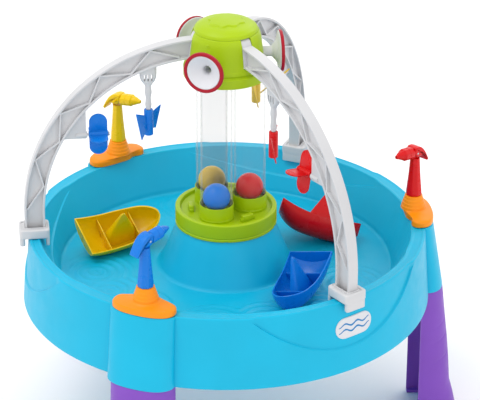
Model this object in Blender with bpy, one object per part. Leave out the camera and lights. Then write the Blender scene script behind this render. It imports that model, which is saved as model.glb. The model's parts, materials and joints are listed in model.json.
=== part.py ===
"""Water play table: a round basin on three legs, with a tower of three clear ball tubes,
three arches that carry spinners, three swivelling squirters and three boats.

Units are metres, +Z is up and the floor is z = 0.  The table repeats three times round the
tower, so every sector shares one set of meshes.  In a sector's frame the squirter and its
leg lie on +X; in an arch's frame the arch lies on +X.
"""
import bmesh
import bpy
from math import acos, atan2, cos, exp, pi, radians, sin, sqrt, tau
from mathutils import Euler, Matrix

# ---------------------------------------------------------------- driving dimensions
GAP = 0.0003                # between pieces that touch
RUN = 0.0003                # radial clearance of a pin in its hole

# basin
RIM_Z = 0.400               # top of the rim above the floor
RIM_R = 0.355               # outside of the rim
RIM_WIDTH = 0.024           # flat top of the wall, between its round edges
SKIRT_FLARE = 0.0095        # how far the skirt widens down to its lower edge
SKIRT_DROP = 0.130          # height of the skirt
BASIN_DEPTH = 0.075         # rim to basin floor
WALL_LEAN = 0.0385          # how far the inner wall leans in, from the rim to the floor
WALL = 0.0035               # moulded wall of the basin
PEDESTAL_R = 0.1235         # foot of the pedestal in the middle
PEDESTAL_TOP_R = 0.088
PEDESTAL_RISE = 0.008       # top of the pedestal above the rim
LOBE_TOP_OUT = 0.017        # how far a leg lobe stands out of the wall, at the top
LOBE_FOOT_OUT = 0.0295      # and at the lower edge of the skirt
LOBE_HALF_WIDTH = 0.0605

# legs
LEG_HALF_WIDTH = 0.0578
LEG_WALL = 0.003
LEG_SETBACK = 0.006         # open side of the leg, towards the tower, inside the rim's edge
LEG_PLUG_HEIGHT = 0.100     # the part that pushes up into the lobe
FOOT_OUT = 0.038            # how far the foot stands out beyond the lobe
FOOT_FLANGE = 0.012
FOOT_FLANGE_HEIGHT = 0.006

# tower
TUBE_AXIS_R = 0.042
TUBE_R = 0.0285
TUBE_WALL = 0.002
BALL_CLEARANCE = 0.002      # round the ball in its tube
BASE_R = 0.0903
BASE_HEIGHT = 0.032
BASE_WALL = 0.003
COLLAR_WALL = 0.0022
COLLAR_RISE = 0.0215        # collar above the top of the base ring
SEAT_RISE = 0.0075          # tube seat above the top of the base ring
DRAIN_R = 0.006
HUB_HEIGHT = 0.082
HUB_CROWN = 0.0119          # top of the hub's wall above the top of the arches
HUB_TUCK = 0.0175           # how far the hub's lower ring reaches down over the tubes
HUB_INSET = 0.0077          # upper part of the hub inside its lower ring
HUB_WALL = 0.0027
CAP_R = 0.0555
CAP_LAP = 0.0095             # edge of the lid beyond the opening it closes
CAP_HEIGHT = 0.019
TARGET_R = 0.0365
TARGET_THROAT_R = 0.007
TARGET_DEPTH = 0.017
TARGET_REACH = 0.0985       # front of the target from the tower axis
TARGET_RISE = 0.038         # target centre above the foot of the hub
RING_WIDTH = 0.0062

# arches
ARCH_CENTRE_R = 0.038
ARCH_PROUD = 0.003          # arch beyond the outside of the rim
ARCH_DEPTH = 0.036
ARCH_WIDTH = 0.020
ARCH_FLANGE = 0.004
ARCH_WEB = 0.004
ARCH_CENTRE_RISE = 0.043    # arc centre above the rim
CLAMP_HALF_WIDTH = 0.0225
CLAMP_OUT = 0.0135          # clamp beyond the outside of the rim
CLAMP_IN = 0.016            # clamp inside the inner edge of the rim
CLAMP_RISE = 0.018
CLAMP_DROP = 0.014

# spinners
PROPELLER_R = 0.0295
PROPELLER_AXIS_R = 0.1358
PROPELLER_HUB_R = 0.008
PROPELLER_HUB_LENGTH = 0.048
PROPELLER_DROP = 0.102      # middle of the propeller below the arch
VANE_ROOT_HEIGHT = 0.028
VANE_TIP_HEIGHT = 0.049
VANE_THICK = 0.002
HANGER_ROD_R = 0.0027
WHEEL_R = 0.0385
WHEEL_WIDTH = 0.034
WHEEL_HUB_R = 0.006
WHEEL_MID_R = 0.2240
WHEEL_RISE = 0.189          # axle above the rim
PADDLES = 4
AXLE_R = 0.002

# squirters
PUMP_SETBACK = 0.0165       # swivel axis inside the rim's edge
COVER_HALF_WIDTH = 0.0565
COVER_HALF_DEPTH = 0.0245
COVER_EDGE = 0.0095
COVER_HEIGHT = 0.0405
STEM_FOOT_R = 0.0148
STEM_TOP_R = 0.0090
STEM_HEIGHT = 0.072
SPIGOT_R = 0.0062
SPIGOT_LENGTH = 0.0055
HEAD_HALF_WIDTH = 0.0105
HEAD_HEIGHT = 0.0215
NOZZLE_LENGTH = 0.0415
NECK_HALF_WIDTH = 0.0042
NECK_FRONT = 0.0112
PIN_R = 0.0020

# boats
BOAT_LENGTH = 0.150
BOAT_BEAM = 0.082
BOAT_DEPTH = 0.036
BOAT_SHEER = 0.012
BOAT_WALL = 0.0022
SAIL_HEIGHT = 0.082
SAIL_LENGTH = 0.070
SAIL_THICK = 0.026

# badge
BADGE_HALF_WIDTH = 0.039
BADGE_HALF_HEIGHT = 0.0190
BADGE_THICK = 0.0015
BADGE_AZIMUTH = 331.0
BADGE_DROP = 0.050

# placement
COLOURS = ("blue", "red", "yellow")
SQUIRTER_AZIMUTH = {"blue": 270.0, "red": 30.0, "yellow": 150.0}
ARCH_TURN = -60.0           # an arch from its squirter
SQUIRTER_TURN = {"blue": -22.0, "red": 40.0, "yellow": 20.0}
PROPELLER_TURN = {"blue": 50.0, "red": 141.0, "yellow": 20.0}
WHEEL_TURN = {"blue": 0.0, "red": -10.0, "yellow": 45.0}
# each boat: distance from the tower, azimuth, heading, roll and pitch, in degrees
BOAT_PLACE = {
    "blue": (0.195, 336.6, 271.7, 11.6, 6.4),
    "red": (0.1745, 46.6, 15.5, -34.0, 15.0),
    "yellow": (0.208, 183.0, 48.6, 30.0, -6.6),
}

# worked out
RIM_INNER_R = RIM_R - RIM_WIDTH
SKIRT_R = RIM_R + SKIRT_FLARE
FLOOR_R = RIM_INNER_R - WALL_LEAN
LEG_INNER_R = RIM_R - LEG_SETBACK
PUMP_AXIS_R = RIM_R - PUMP_SETBACK
FOOT_R = SKIRT_R + LOBE_FOOT_OUT + FOOT_OUT
CLAMP_OUTER_R = RIM_R + CLAMP_OUT
TOWER_Y = (FOOT_R - CLAMP_OUTER_R) / 2
FLOOR_Z = RIM_Z - BASIN_DEPTH
SKIRT_Z = RIM_Z - SKIRT_DROP
PEDESTAL_Z = RIM_Z + PEDESTAL_RISE
BASE_Z = PEDESTAL_Z + GAP
BASE_TOP = BASE_Z + BASE_HEIGHT
SEAT_Z = BASE_TOP + SEAT_RISE
TUBE_Z = SEAT_Z + GAP
ARCH_OUTER = RIM_R + ARCH_PROUD - ARCH_CENTRE_R
ARCH_Z = RIM_Z + ARCH_CENTRE_RISE
HUB_TOP = ARCH_Z + ARCH_OUTER + HUB_CROWN
HUB_FOOT = HUB_TOP - HUB_HEIGHT
HUB_SHELF = HUB_FOOT + HUB_TUCK
HUB_RING_R = TUBE_AXIS_R + TUBE_R + 0.0010 + HUB_WALL
HUB_R = HUB_RING_R - HUB_INSET
TUBE_TOP = HUB_SHELF - GAP
TUBE_LENGTH = TUBE_TOP - TUBE_Z
BALL_R = TUBE_R - TUBE_WALL - BALL_CLEARANCE
TARGET_Z = HUB_FOOT + TARGET_RISE
ARCH_INNER = ARCH_OUTER - ARCH_DEPTH
ARCH_FOOT_Z = RIM_Z + 0.0048
TAB_R = 0.0475
TAB_OUTER_R = 0.0615
COVER_Z = RIM_Z + GAP
COVER_TOP = COVER_Z + COVER_HEIGHT
STEM_Z = COVER_TOP + GAP
HEAD_Z = STEM_HEIGHT + 0.0135          # middle of the head above the foot of the stem
PIN_PLACE = (0.004, 0.0, STEM_HEIGHT + 0.012)
WHEEL_Z = RIM_Z + WHEEL_RISE


# ---------------------------------------------------------------- mesh helpers
def clear_scene():
    for obj in list(bpy.data.objects):
        bpy.data.objects.remove(obj, do_unlink=True)


def finish_mesh(bm, name, smooth_angle=35.0):
    """Turn a closed bmesh into a mesh with outward faces and smooth round sides."""
    bmesh.ops.remove_doubles(bm, verts=bm.verts, dist=1e-6)
    bmesh.ops.recalc_face_normals(bm, faces=bm.faces)
    mesh = bpy.data.meshes.new(name)
    bm.to_mesh(mesh)
    bm.free()
    mesh.shade_smooth()
    mesh.set_sharp_from_angle(angle=radians(smooth_angle))
    return mesh


def loft(name, rings, loop=False, smooth_angle=35.0):
    """Skin equal rings of points; a ring of one point closes to a tip."""
    bm = bmesh.new()
    rows = [[bm.verts.new(point) for point in ring] for ring in rings]
    pairs = list(zip(rows, rows[1:]))
    if loop:
        pairs.append((rows[-1], rows[0]))
    for low, high in pairs:
        bridge(bm, low, high)
    if not loop:
        for row in (rows[0], rows[-1]):
            if len(row) > 1:
                bm.faces.new(row)
    return finish_mesh(bm, name, smooth_angle)


def bridge(bm, low, high):
    """Join two rings with quads, or with triangles where one ring is a tip."""
    count = max(len(low), len(high))
    for i in range(count):
        j = (i + 1) % count
        if len(low) == 1:
            bm.faces.new((low[0], high[j], high[i]))
        elif len(high) == 1:
            bm.faces.new((low[i], low[j], high[0]))
        else:
            bm.faces.new((low[i], low[j], high[j], high[i]))


def turned(name, profile, segments, loop=False, axis="Z", smooth_angle=35.0):
    """Turn an (r, z) profile round Z, or round X when axis is X; r = 0 closes to a tip."""
    rings = []
    for r, z in profile:
        if r == 0.0:
            points = [(0.0, 0.0, z)]
        else:
            angles = [tau * i / segments for i in range(segments)]
            points = [(r * cos(a), r * sin(a), z) for a in angles]
        if axis == "X":
            points = [(z, x, y) for x, y, z in points]
        rings.append(points)
    return loft(name, rings, loop, smooth_angle)


def prism(name, outline, low, high, axis="Z"):
    """Extrude a closed (a, b) outline between two levels along Z, Y or X."""
    def place(a, b, c):
        return {"Z": (a, b, c), "Y": (a, c, b), "X": (c, a, b)}[axis]
    rings = [[place(a, b, level) for a, b in outline] for level in (low, high)]
    return loft(name, rings)


def block(name, low, high):
    outline = [(low[0], low[1]), (high[0], low[1]), (high[0], high[1]), (low[0], high[1])]
    return prism(name, outline, low[2], high[2])


def pin(name, radius, low, high, axis, segments, centre=(0.0, 0.0)):
    """A cylinder along an axis; centre is its place across that axis."""
    angles = [tau * i / segments for i in range(segments)]
    outline = [(centre[0] + radius * cos(a), centre[1] + radius * sin(a)) for a in angles]
    return prism(name, outline, low, high, axis)


def carve(mesh, operation, *tools):
    """Apply exact Booleans with tool meshes and return the new mesh; the tools are used up."""
    target = bpy.data.objects.new("carve_target", mesh)
    bpy.context.scene.collection.objects.link(target)
    helpers = []
    for tool in tools:
        helper = bpy.data.objects.new("carve_tool", tool)
        bpy.context.scene.collection.objects.link(helper)
        helpers.append(helper)
        modifier = target.modifiers.new("carve", "BOOLEAN")
        modifier.operation = operation
        modifier.solver = "EXACT"
        modifier.object = helper
    bpy.context.view_layer.update()
    graph = bpy.context.evaluated_depsgraph_get()
    result = bpy.data.meshes.new_from_object(target.evaluated_get(graph), depsgraph=graph)
    result.name = mesh.name
    for obj in [target, *helpers]:
        bpy.data.objects.remove(obj, do_unlink=True)
    bm = bmesh.new()
    bm.from_mesh(result)
    bmesh.ops.remove_doubles(bm, verts=bm.verts, dist=1e-6)
    bmesh.ops.dissolve_degenerate(bm, edges=bm.edges, dist=1e-6)
    bm.to_mesh(result)
    bm.free()
    result.shade_smooth()
    result.set_sharp_from_angle(angle=radians(35.0))
    return result


# ---------------------------------------------------------------- materials and nodes
def make_materials():
    """One Principled material for each moulding colour: linear RGB, roughness, transmission."""
    finishes = {
        "aqua_plastic": ((0.13, 0.66, 0.91), 0.38, 0.0),
        "lime_plastic": ((0.45, 0.64, 0.02), 0.35, 0.0),
        "grey_plastic": ((0.74, 0.74, 0.76), 0.42, 0.0),
        "orange_plastic": ((1.0, 0.36, 0.0), 0.35, 0.0),
        "purple_plastic": ((0.28, 0.12, 0.60), 0.42, 0.0),
        "blue_plastic": ((0.0, 0.17, 0.75), 0.30, 0.0),
        "red_plastic": ((0.76, 0.003, 0.006), 0.30, 0.0),
        "yellow_plastic": ((0.76, 0.58, 0.0), 0.30, 0.0),
        "crimson_plastic": ((0.40, 0.006, 0.025), 0.35, 0.0),
        "white_plastic": ((0.80, 0.80, 0.82), 0.38, 0.0),
        "clear_plastic": ((0.95, 0.97, 0.98), 0.05, 0.9),
        "steel": ((0.55, 0.55, 0.56), 0.30, 0.0),
    }
    materials = {}
    for name, (colour, roughness, transmission) in finishes.items():
        material = bpy.data.materials.new(name)
        material.use_nodes = True
        shader = material.node_tree.nodes["Principled BSDF"]
        shader.inputs["Base Color"].default_value = (*colour, 1.0)
        shader.inputs["Roughness"].default_value = roughness
        shader.inputs["Metallic"].default_value = 1.0 if name == "steel" else 0.0
        shader.inputs["Transmission Weight"].default_value = transmission
        materials[name] = material
    return materials


def node(name, mesh, material, parent=None, location=(0.0, 0.0, 0.0), rotation=(0.0, 0.0, 0.0)):
    """Add one named sub-part."""
    obj = bpy.data.objects.new(name, mesh)
    bpy.context.scene.collection.objects.link(obj)
    if not mesh.materials:
        mesh.materials.append(material)
    obj.material_slots[0].link = "OBJECT"
    obj.material_slots[0].material = material
    obj.parent = parent
    obj.location = location
    obj.rotation_euler = rotation
    return obj


def empty(name, parent=None, location=(0.0, 0.0, 0.0), rotation=(0.0, 0.0, 0.0)):
    obj = bpy.data.objects.new(name, None)
    bpy.context.scene.collection.objects.link(obj)
    obj.parent = parent
    obj.location = location
    obj.rotation_euler = rotation
    return obj


# ---------------------------------------------------------------- basin and legs
def swell(offset, half):
    """Outline of a leg lobe: 1 in its middle, 0 at its edge, with steep sides."""
    share = min(abs(offset) / half, 1.0)
    return sqrt(1.0 - share ** 3)


def tray_mesh():
    """One closed shell.  Each station is (r of the round wall, extra r in a lobe, z, inner)."""
    lower = SKIRT_R - WALL
    steep = 1.12                    # wall thickness along r on the sloping inner wall
    slope_foot = FLOOR_R + 0.006
    stations = [
        (PEDESTAL_TOP_R - 0.0035, 0.0, PEDESTAL_Z, False),
        (PEDESTAL_TOP_R, 0.0, PEDESTAL_Z - 0.003, False),
        (PEDESTAL_R - 0.017, 0.0, FLOOR_Z + 0.032, False),
        (PEDESTAL_R - 0.004, 0.0, FLOOR_Z + 0.004, False),
        (PEDESTAL_R, 0.0, FLOOR_Z, False),
        (FLOOR_R, 0.0, FLOOR_Z, False),
        (slope_foot, 0.0, FLOOR_Z + 0.006, False),
        (RIM_INNER_R - 0.002, 0.0, RIM_Z - 0.005, False),
        (RIM_INNER_R + 0.001, 0.0, RIM_Z, False),
        (RIM_R - 0.003, LOBE_TOP_OUT, RIM_Z, False),
        (RIM_R, LOBE_TOP_OUT, RIM_Z - 0.003, False),
        (SKIRT_R - 0.001, LOBE_FOOT_OUT - 0.001, SKIRT_Z + 0.006, False),
        (SKIRT_R, LOBE_FOOT_OUT, SKIRT_Z, False),
        (lower, LOBE_FOOT_OUT, SKIRT_Z, True),
        (RIM_R - WALL, LOBE_TOP_OUT, RIM_Z - WALL - 0.002, True),
        (RIM_R - WALL - 0.002, LOBE_TOP_OUT, RIM_Z - WALL, True),
        (RIM_INNER_R + WALL, 0.0, RIM_Z - WALL, True),
        (slope_foot + WALL * steep, 0.0, FLOOR_Z + 0.0035, True),
        (FLOOR_R + 0.001, 0.0, FLOOR_Z - WALL, True),
        (PEDESTAL_R - 0.003, 0.0, FLOOR_Z - WALL, True),
        (PEDESTAL_R - 0.008, 0.0, FLOOR_Z + 0.002, True),
        (PEDESTAL_R - 0.021, 0.0, FLOOR_Z + 0.032, True),
        (PEDESTAL_TOP_R - WALL - 0.003, 0.0, PEDESTAL_Z - WALL, True),
    ]
    half = LOBE_HALF_WIDTH / (RIM_R + LOBE_TOP_OUT / 2)
    inner_half = half - WALL / RIM_R
    lobe_steps = [half * s for s in (0.30, 0.57, 0.77, 0.89)] + [inner_half, half]
    free = (pi / 3 - half)
    open_steps = [half + free * i / 7 for i in range(1, 7)]
    offsets = [0.0] + lobe_steps + open_steps
    offsets = [-a for a in reversed(offsets[1:])] + offsets + [pi / 3]
    columns = []
    for colour in COLOURS:
        middle = radians(SQUIRTER_AZIMUTH[colour])
        columns += [(middle + offset, offset) for offset in offsets]
    columns.sort(key=lambda pair: pair[0] % tau)
    rings = [[(0.0, 0.0, PEDESTAL_Z)]]
    for wall_r, extra, z, inner in stations:
        ring = []
        for azimuth, offset in columns:
            r = wall_r + extra * swell(offset, inner_half if inner else half)
            ring.append((r * cos(azimuth), r * sin(azimuth), z))
        rings.append(ring)
    rings.append([(0.0, 0.0, PEDESTAL_Z - WALL)])
    return loft("tray", rings)


def leg_section(z, inner_r, outer_r, half_width, wall, points=8):
    """C-shaped section of a leg, open towards the tower."""
    ring = []
    for reach, half, turn in ((outer_r, half_width, 1), (outer_r - wall, half_width - wall, -1)):
        for i in range(points):
            angle = turn * pi * (i / (points - 1) - 0.5)
            x = inner_r + (reach - inner_r) * sqrt(max(0.0, 1.0 - abs(sin(angle)) ** 3))
            ring.append((x, half * sin(angle), z))
    return ring


def leg_mesh():
    """Half-round shell: foot flange, flared shin, shoulder under the skirt, plug in the lobe."""
    lobe_r = SKIRT_R + LOBE_FOOT_OUT
    plug_half = LEG_HALF_WIDTH - 0.0055
    plug_inner = LEG_INNER_R - 0.007
    plug_r = lobe_r - WALL - 0.0032
    plug_lean = (SKIRT_R - RIM_R + LOBE_FOOT_OUT - LOBE_TOP_OUT) / SKIRT_DROP
    shoulder = SKIRT_Z - GAP
    thick = LEG_HALF_WIDTH - (plug_half - LEG_WALL)
    flare = [(0.0, 1.0), (0.037, 0.79), (0.065, 0.58), (0.115, 0.48), (0.160, 0.36),
             (0.220, 0.16), (0.255, 0.05)]
    rings = []
    for height, share in flare:
        outer = lobe_r + FOOT_OUT * share
        half = LEG_HALF_WIDTH + 0.0025 * share
        level = shoulder * height / 0.2697
        if height == 0.0:
            rings.append(leg_section(level, LEG_INNER_R, outer, half, FOOT_FLANGE))
            rings.append(leg_section(FOOT_FLANGE_HEIGHT, LEG_INNER_R, outer, half, FOOT_FLANGE))
            rings.append(leg_section(FOOT_FLANGE_HEIGHT + 0.002, LEG_INNER_R, outer, half, LEG_WALL))
        else:
            rings.append(leg_section(level, LEG_INNER_R, outer, half, LEG_WALL))
    top = leg_section(shoulder - 0.005, LEG_INNER_R, lobe_r, LEG_HALF_WIDTH, LEG_WALL)
    plug = leg_section(shoulder + 0.0005, plug_inner, plug_r, plug_half, LEG_WALL)
    wide = leg_section(shoulder, LEG_INNER_R, lobe_r, LEG_HALF_WIDTH, thick)
    count = len(plug) // 2
    rings.append(top)
    rings.append(wide[:count] + [(x, y, shoulder - 0.001) for x, y, z in plug[count:]])
    rings.append(plug)
    tip_r = plug_r - plug_lean * LEG_PLUG_HEIGHT
    rings.append(leg_section(shoulder + LEG_PLUG_HEIGHT, plug_inner, tip_r, plug_half, LEG_WALL))
    return loft("leg", rings)


def badge_mesh():
    """Pill-shaped plaque curved to the skirt, standing a hair off it."""
    def on_skirt(across, up, lift):
        z = RIM_Z - BADGE_DROP + up
        r = RIM_R + (SKIRT_R - RIM_R) * (RIM_Z - z) / SKIRT_DROP + lift
        azimuth = radians(BADGE_AZIMUTH) + across / RIM_R
        return (r * cos(azimuth), r * sin(azimuth), z)

    straight = BADGE_HALF_WIDTH - BADGE_HALF_HEIGHT
    outline = []
    for side in (1, -1):
        for i in range(9):
            angle = side * (i / 8 - 0.5) * pi if side == 1 else pi / 2 + i / 8 * pi
            outline.append((side * straight + BADGE_HALF_HEIGHT * cos(angle),
                            BADGE_HALF_HEIGHT * sin(angle)))
    back, front = GAP, GAP + BADGE_THICK
    levels = [(0.5, back), (1.0, back), (1.0, front - 0.0004), (0.96, front), (0.5, front)]
    rings = [[on_skirt(0.0, 0.0, back)]]
    for scale, lift in levels:
        rings.append([on_skirt(across * scale, up * scale, lift) for across, up in outline])
    rings.append([on_skirt(0.0, 0.0, front)])
    return loft("badge", rings)


# ---------------------------------------------------------------- tower
def tower_base_mesh():
    """Round cap over the pedestal with three collars that hold the tubes."""
    recess = BASE_TOP - 0.0065
    profile = [
        (0.0, recess - BASE_WALL), (BASE_R - BASE_WALL, recess - BASE_WALL),
        (BASE_R - BASE_WALL, BASE_Z), (BASE_R, BASE_Z), (BASE_R, BASE_TOP - 0.002),
        (BASE_R - 0.002, BASE_TOP), (BASE_R - 0.0085, BASE_TOP), (BASE_R - 0.0105, recess),
        (0.0, recess),
    ]
    body = turned("tower_base", profile, 30)
    collar_r = TUBE_R + RUN + COLLAR_WALL
    collars, bores, catches = [], [], []
    for i in range(3):
        turn = Matrix.Rotation(i * tau / 3, 4, "Z")
        place = turn @ Matrix.Translation((TUBE_AXIS_R, 0.0, 0.0))
        collar = pin("collar", collar_r, recess - 0.001, BASE_TOP + COLLAR_RISE, "Z", 20)
        bore = turned("bore", [(0.0, recess - 0.01), (DRAIN_R, recess - 0.01), (DRAIN_R, SEAT_Z),
                               (TUBE_R + RUN, SEAT_Z), (TUBE_R + RUN, BASE_TOP + 0.05),
                               (0.0, BASE_TOP + 0.05)], 20)
        catch = block("catch", (0.058, -0.011, recess - 0.001), (0.067, 0.011, BASE_TOP + 0.004))
        collar.transform(place)
        bore.transform(place)
        catch.transform(Matrix.Rotation(radians(ARCH_TURN), 4, "Z") @ turn)
        collars.append(collar)
        bores.append(bore)
        catches.append(catch)
    body = carve(body, "UNION", *collars, *catches)
    return carve(body, "DIFFERENCE", *bores)


def tube_mesh():
    inner = TUBE_R - TUBE_WALL
    profile = [(TUBE_R, 0.0), (TUBE_R, TUBE_LENGTH), (inner, TUBE_LENGTH), (inner, 0.0)]
    return turned("tube", profile, 20, loop=True)


def ball_mesh():
    bm = bmesh.new()
    bmesh.ops.create_uvsphere(bm, u_segments=14, v_segments=8, radius=BALL_R)
    return finish_mesh(bm, "ball", 180.0)


def hub_body_mesh():
    """Hollow bell over the tubes, with a slot for each arch and a hole for each target."""
    ring_inner = HUB_RING_R - HUB_WALL
    opening = CAP_R - CAP_LAP
    profile = [
        (ring_inner, HUB_FOOT), (HUB_RING_R, HUB_FOOT), (HUB_RING_R, HUB_SHELF - 0.0015),
        (HUB_RING_R - 0.002, HUB_SHELF + 0.0015), (HUB_R + 0.001, HUB_SHELF + 0.0045),
        (HUB_R - 0.003, HUB_TOP - 0.030), (HUB_R - 0.0065, HUB_TOP - 0.0095),
        (HUB_R - 0.010, HUB_TOP - 0.003), (HUB_R - 0.016, HUB_TOP), (opening, HUB_TOP),
        (opening, HUB_TOP - HUB_WALL), (HUB_R - 0.017, HUB_TOP - HUB_WALL),
        (HUB_R - 0.0122, HUB_TOP - 0.0055), (HUB_R - 0.009, HUB_TOP - 0.0105),
        (HUB_R - 0.0057, HUB_TOP - 0.030), (HUB_R - HUB_WALL, HUB_SHELF + 0.003),
        (ring_inner, HUB_SHELF - 0.002 + HUB_WALL),
    ]
    body = turned("hub_body", profile, 30, loop=True)
    slot_half = ARCH_WIDTH / 2 + GAP
    slot_foot = ARCH_Z + sqrt(ARCH_INNER ** 2 - (HUB_R - ARCH_CENTRE_R) ** 2) - 0.0016
    cuts = []
    for i in range(3):
        turn = Matrix.Rotation(i * tau / 3, 4, "Z")
        slot = block("slot", (opening - 0.01, -slot_half, slot_foot), (0.09, slot_half, HUB_TOP + 0.02))
        slot.transform(Matrix.Rotation(radians(ARCH_TURN), 4, "Z") @ turn)
        hole = pin("hole", TARGET_THROAT_R + 0.0022 + 3 * RUN, 0.045, 0.09, "X", 12, (0.0, TARGET_Z))
        hole.transform(turn)
        cuts += [slot, hole]
    return carve(body, "DIFFERENCE", *cuts)


def hub_cap_mesh():
    """Domed lid: a shell with a spigot that drops into the hub, notched for the arch tabs."""
    foot = HUB_TOP + GAP
    spigot = CAP_R - CAP_LAP - GAP
    top = foot + CAP_HEIGHT
    profile = [
        (0.0, top - 0.003), (0.025, top - 0.0045), (0.040, foot + 0.006),
        (spigot - 0.003, foot), (spigot - 0.003, foot - 0.004), (spigot, foot - 0.004),
        (spigot, foot), (CAP_R - 0.003, foot), (CAP_R - 0.0035, foot + 0.005),
        (CAP_R - 0.0085, foot + 0.0115), (0.032, top - 0.003), (0.015, top - 0.0006), (0.0, top),
    ]
    cap = turned("hub_cap", profile, 24)
    notch_half = ARCH_WIDTH / 2 + 2 * GAP
    notches = []
    for i in range(3):
        notch = block("notch", (TAB_R - 0.0012, -notch_half, foot - 0.01),
                      (0.09, notch_half, foot + 0.004))
        notch.transform(Matrix.Rotation(radians(ARCH_TURN) + i * tau / 3, 4, "Z"))
        notches.append(notch)
    return carve(cap, "DIFFERENCE", *notches)


def target_mesh():
    """Funnel that faces its squirter, with a flange for the ring and a spout into the hub."""
    face = TARGET_REACH
    lip = TARGET_R - RING_WIDTH - GAP
    throat = face - TARGET_DEPTH
    spout = HUB_R - 0.008
    profile = [
        (lip, face - 0.006), (lip, face - 0.001), (lip - 0.001, face - 0.001),
        (TARGET_THROAT_R, throat), (TARGET_THROAT_R, spout),
        (TARGET_THROAT_R + 0.0022, spout), (TARGET_THROAT_R + 0.0022, throat - 0.0015),
        (TARGET_R - 0.003, face - 0.0075), (TARGET_R - 0.001, face - 0.006),
    ]
    return turned("target", profile, 18, loop=True, axis="X")


def target_ring_mesh():
    back, front = TARGET_REACH - 0.006 + GAP, TARGET_REACH
    hole = TARGET_R - RING_WIDTH
    profile = [(hole, back), (TARGET_R, back), (TARGET_R, front - 0.0015),
               (TARGET_R - 0.0015, front), (hole + 0.001, front), (hole, front - 0.001)]
    return turned("target_ring", profile, 18, loop=True, axis="X")


# ---------------------------------------------------------------- arches and spinners
def on_arch(radius, angle):
    """Point of the arch's vertical plane at a radius and an angle above the arc centre."""
    return (ARCH_CENTRE_R + radius * cos(angle), ARCH_Z + radius * sin(angle))


def arch_mesh():
    """I-section swept up from the clamp and over to the hub, with a zigzag of ribs."""
    half, web = ARCH_WIDTH / 2, ARCH_WEB / 2
    low, high = ARCH_INNER, ARCH_OUTER
    rise, fall = low + ARCH_FLANGE, high - ARCH_FLANGE
    section = [(low, -half), (low, half), (rise, half), (rise, web), (fall, web), (fall, half),
               (high, half), (high, -half), (fall, -half), (fall, -web), (rise, -web), (rise, -half)]
    end = acos((TAB_R + 0.001 - ARCH_CENTRE_R) / ARCH_INNER)
    steps = 13
    rings = [[(ARCH_CENTRE_R + r, y, ARCH_FOOT_Z) for r, y in section]]
    for i in range(steps + 1):
        angle = end * i / steps
        ring = []
        for r, y in section:
            x, z = on_arch(r, angle)
            ring.append((x, y, z))
        rings.append(ring)
    beam = loft("arch", rings)
    bays = 9
    first, last = 0.03, end - 0.11
    inside, outside = [], []
    for i in range(bays + 1):
        radius = rise + 0.0010 if i % 2 else fall - 0.0010
        angle = first + (last - first) * i / bays
        inside.append(on_arch(radius - 0.0019, angle))
        outside.append(on_arch(radius + 0.0019, angle))
    zigzag = prism("zigzag", inside + outside[::-1], -half + 0.0012, half - 0.0012, "Y")
    tab_top = HUB_TOP - 0.0015
    tab = block("tab", (TAB_R, -half + 0.0003, ARCH_Z + ARCH_INNER - 0.004),
                (TAB_OUTER_R, half - 0.0003, tab_top))
    corner_x = WHEEL_MID_R + WHEEL_WIDTH / 2 + 0.0042
    corner_z = WHEEL_Z - 0.0065
    reach = ARCH_INNER + 0.002
    lower = sqrt(reach ** 2 - (corner_z - ARCH_Z) ** 2) + ARCH_CENTRE_R
    upper = sqrt(reach ** 2 - (corner_x - ARCH_CENTRE_R) ** 2) + ARCH_Z
    mid = on_arch(reach, (atan2(corner_z - ARCH_Z, lower - ARCH_CENTRE_R)
                          + atan2(upper - ARCH_Z, corner_x - ARCH_CENTRE_R)) / 2)
    gusset = prism("gusset", [(corner_x, corner_z), (lower, corner_z), mid, (corner_x, upper)],
                   -0.0035, 0.0035, "Y")
    boss = pin("boss", 0.0055, corner_x - 0.002, corner_x + 0.018, "X", 12, (0.0, WHEEL_Z))
    bore = pin("axle_bore", AXLE_R + RUN, corner_x - 0.01, corner_x + 0.0145, "X", 12, (0.0, WHEEL_Z))
    beam = carve(beam, "UNION", zigzag, tab, gusset, boss)
    return carve(beam, "DIFFERENCE", bore)


def clamp_mesh():
    """Block that straddles the rim, with a pocket for the foot of the arch."""
    inner = RIM_INNER_R - CLAMP_IN
    outer = CLAMP_OUTER_R
    corner = 0.006
    outline = []
    for sx, sy in ((1, -1), (1, 1), (-1, 1), (-1, -1)):
        start = {(1, -1): -90, (1, 1): 0, (-1, 1): 90, (-1, -1): 180}[(sx, sy)]
        cx = (outer - corner) if sx > 0 else (inner + corner)
        cy = sy * (CLAMP_HALF_WIDTH - corner)
        for i in range(4):
            angle = radians(start + 30 * i)
            outline.append((cx + corner * cos(angle), cy + corner * sin(angle)))
    top = RIM_Z + CLAMP_RISE
    shrink = 0.0018
    middle = (inner + outer) / 2

    def ring(z, inset):
        return [(x + (-inset if x > middle else inset), y - inset * (1 if y > 0 else -1), z)
                for x, y in outline]

    body = loft("arch_clamp", [ring(RIM_Z - CLAMP_DROP, 0.0), ring(top - shrink, 0.0), ring(top, shrink)])
    rim_drop = CLAMP_DROP + 0.001
    straddle = block("straddle", (RIM_INNER_R - 0.0088, -0.05, RIM_Z - rim_drop),
                     (RIM_R + 0.0032, 0.05, RIM_Z + GAP))
    foot_inner = ARCH_CENTRE_R + ARCH_INNER - GAP
    pocket = block("pocket", (foot_inner, -ARCH_WIDTH / 2 - GAP, ARCH_FOOT_Z - GAP),
                   (foot_inner + ARCH_DEPTH + 2 * GAP, ARCH_WIDTH / 2 + GAP, top + 0.01))
    return carve(body, "DIFFERENCE", straddle, pocket)


def hanger_place():
    """Height of the arch's underside above the propeller axis, and of the propeller's middle."""
    roof = ARCH_Z + sqrt(ARCH_INNER ** 2 - (PROPELLER_AXIS_R - ARCH_CENTRE_R) ** 2)
    return roof, roof - PROPELLER_DROP


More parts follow.
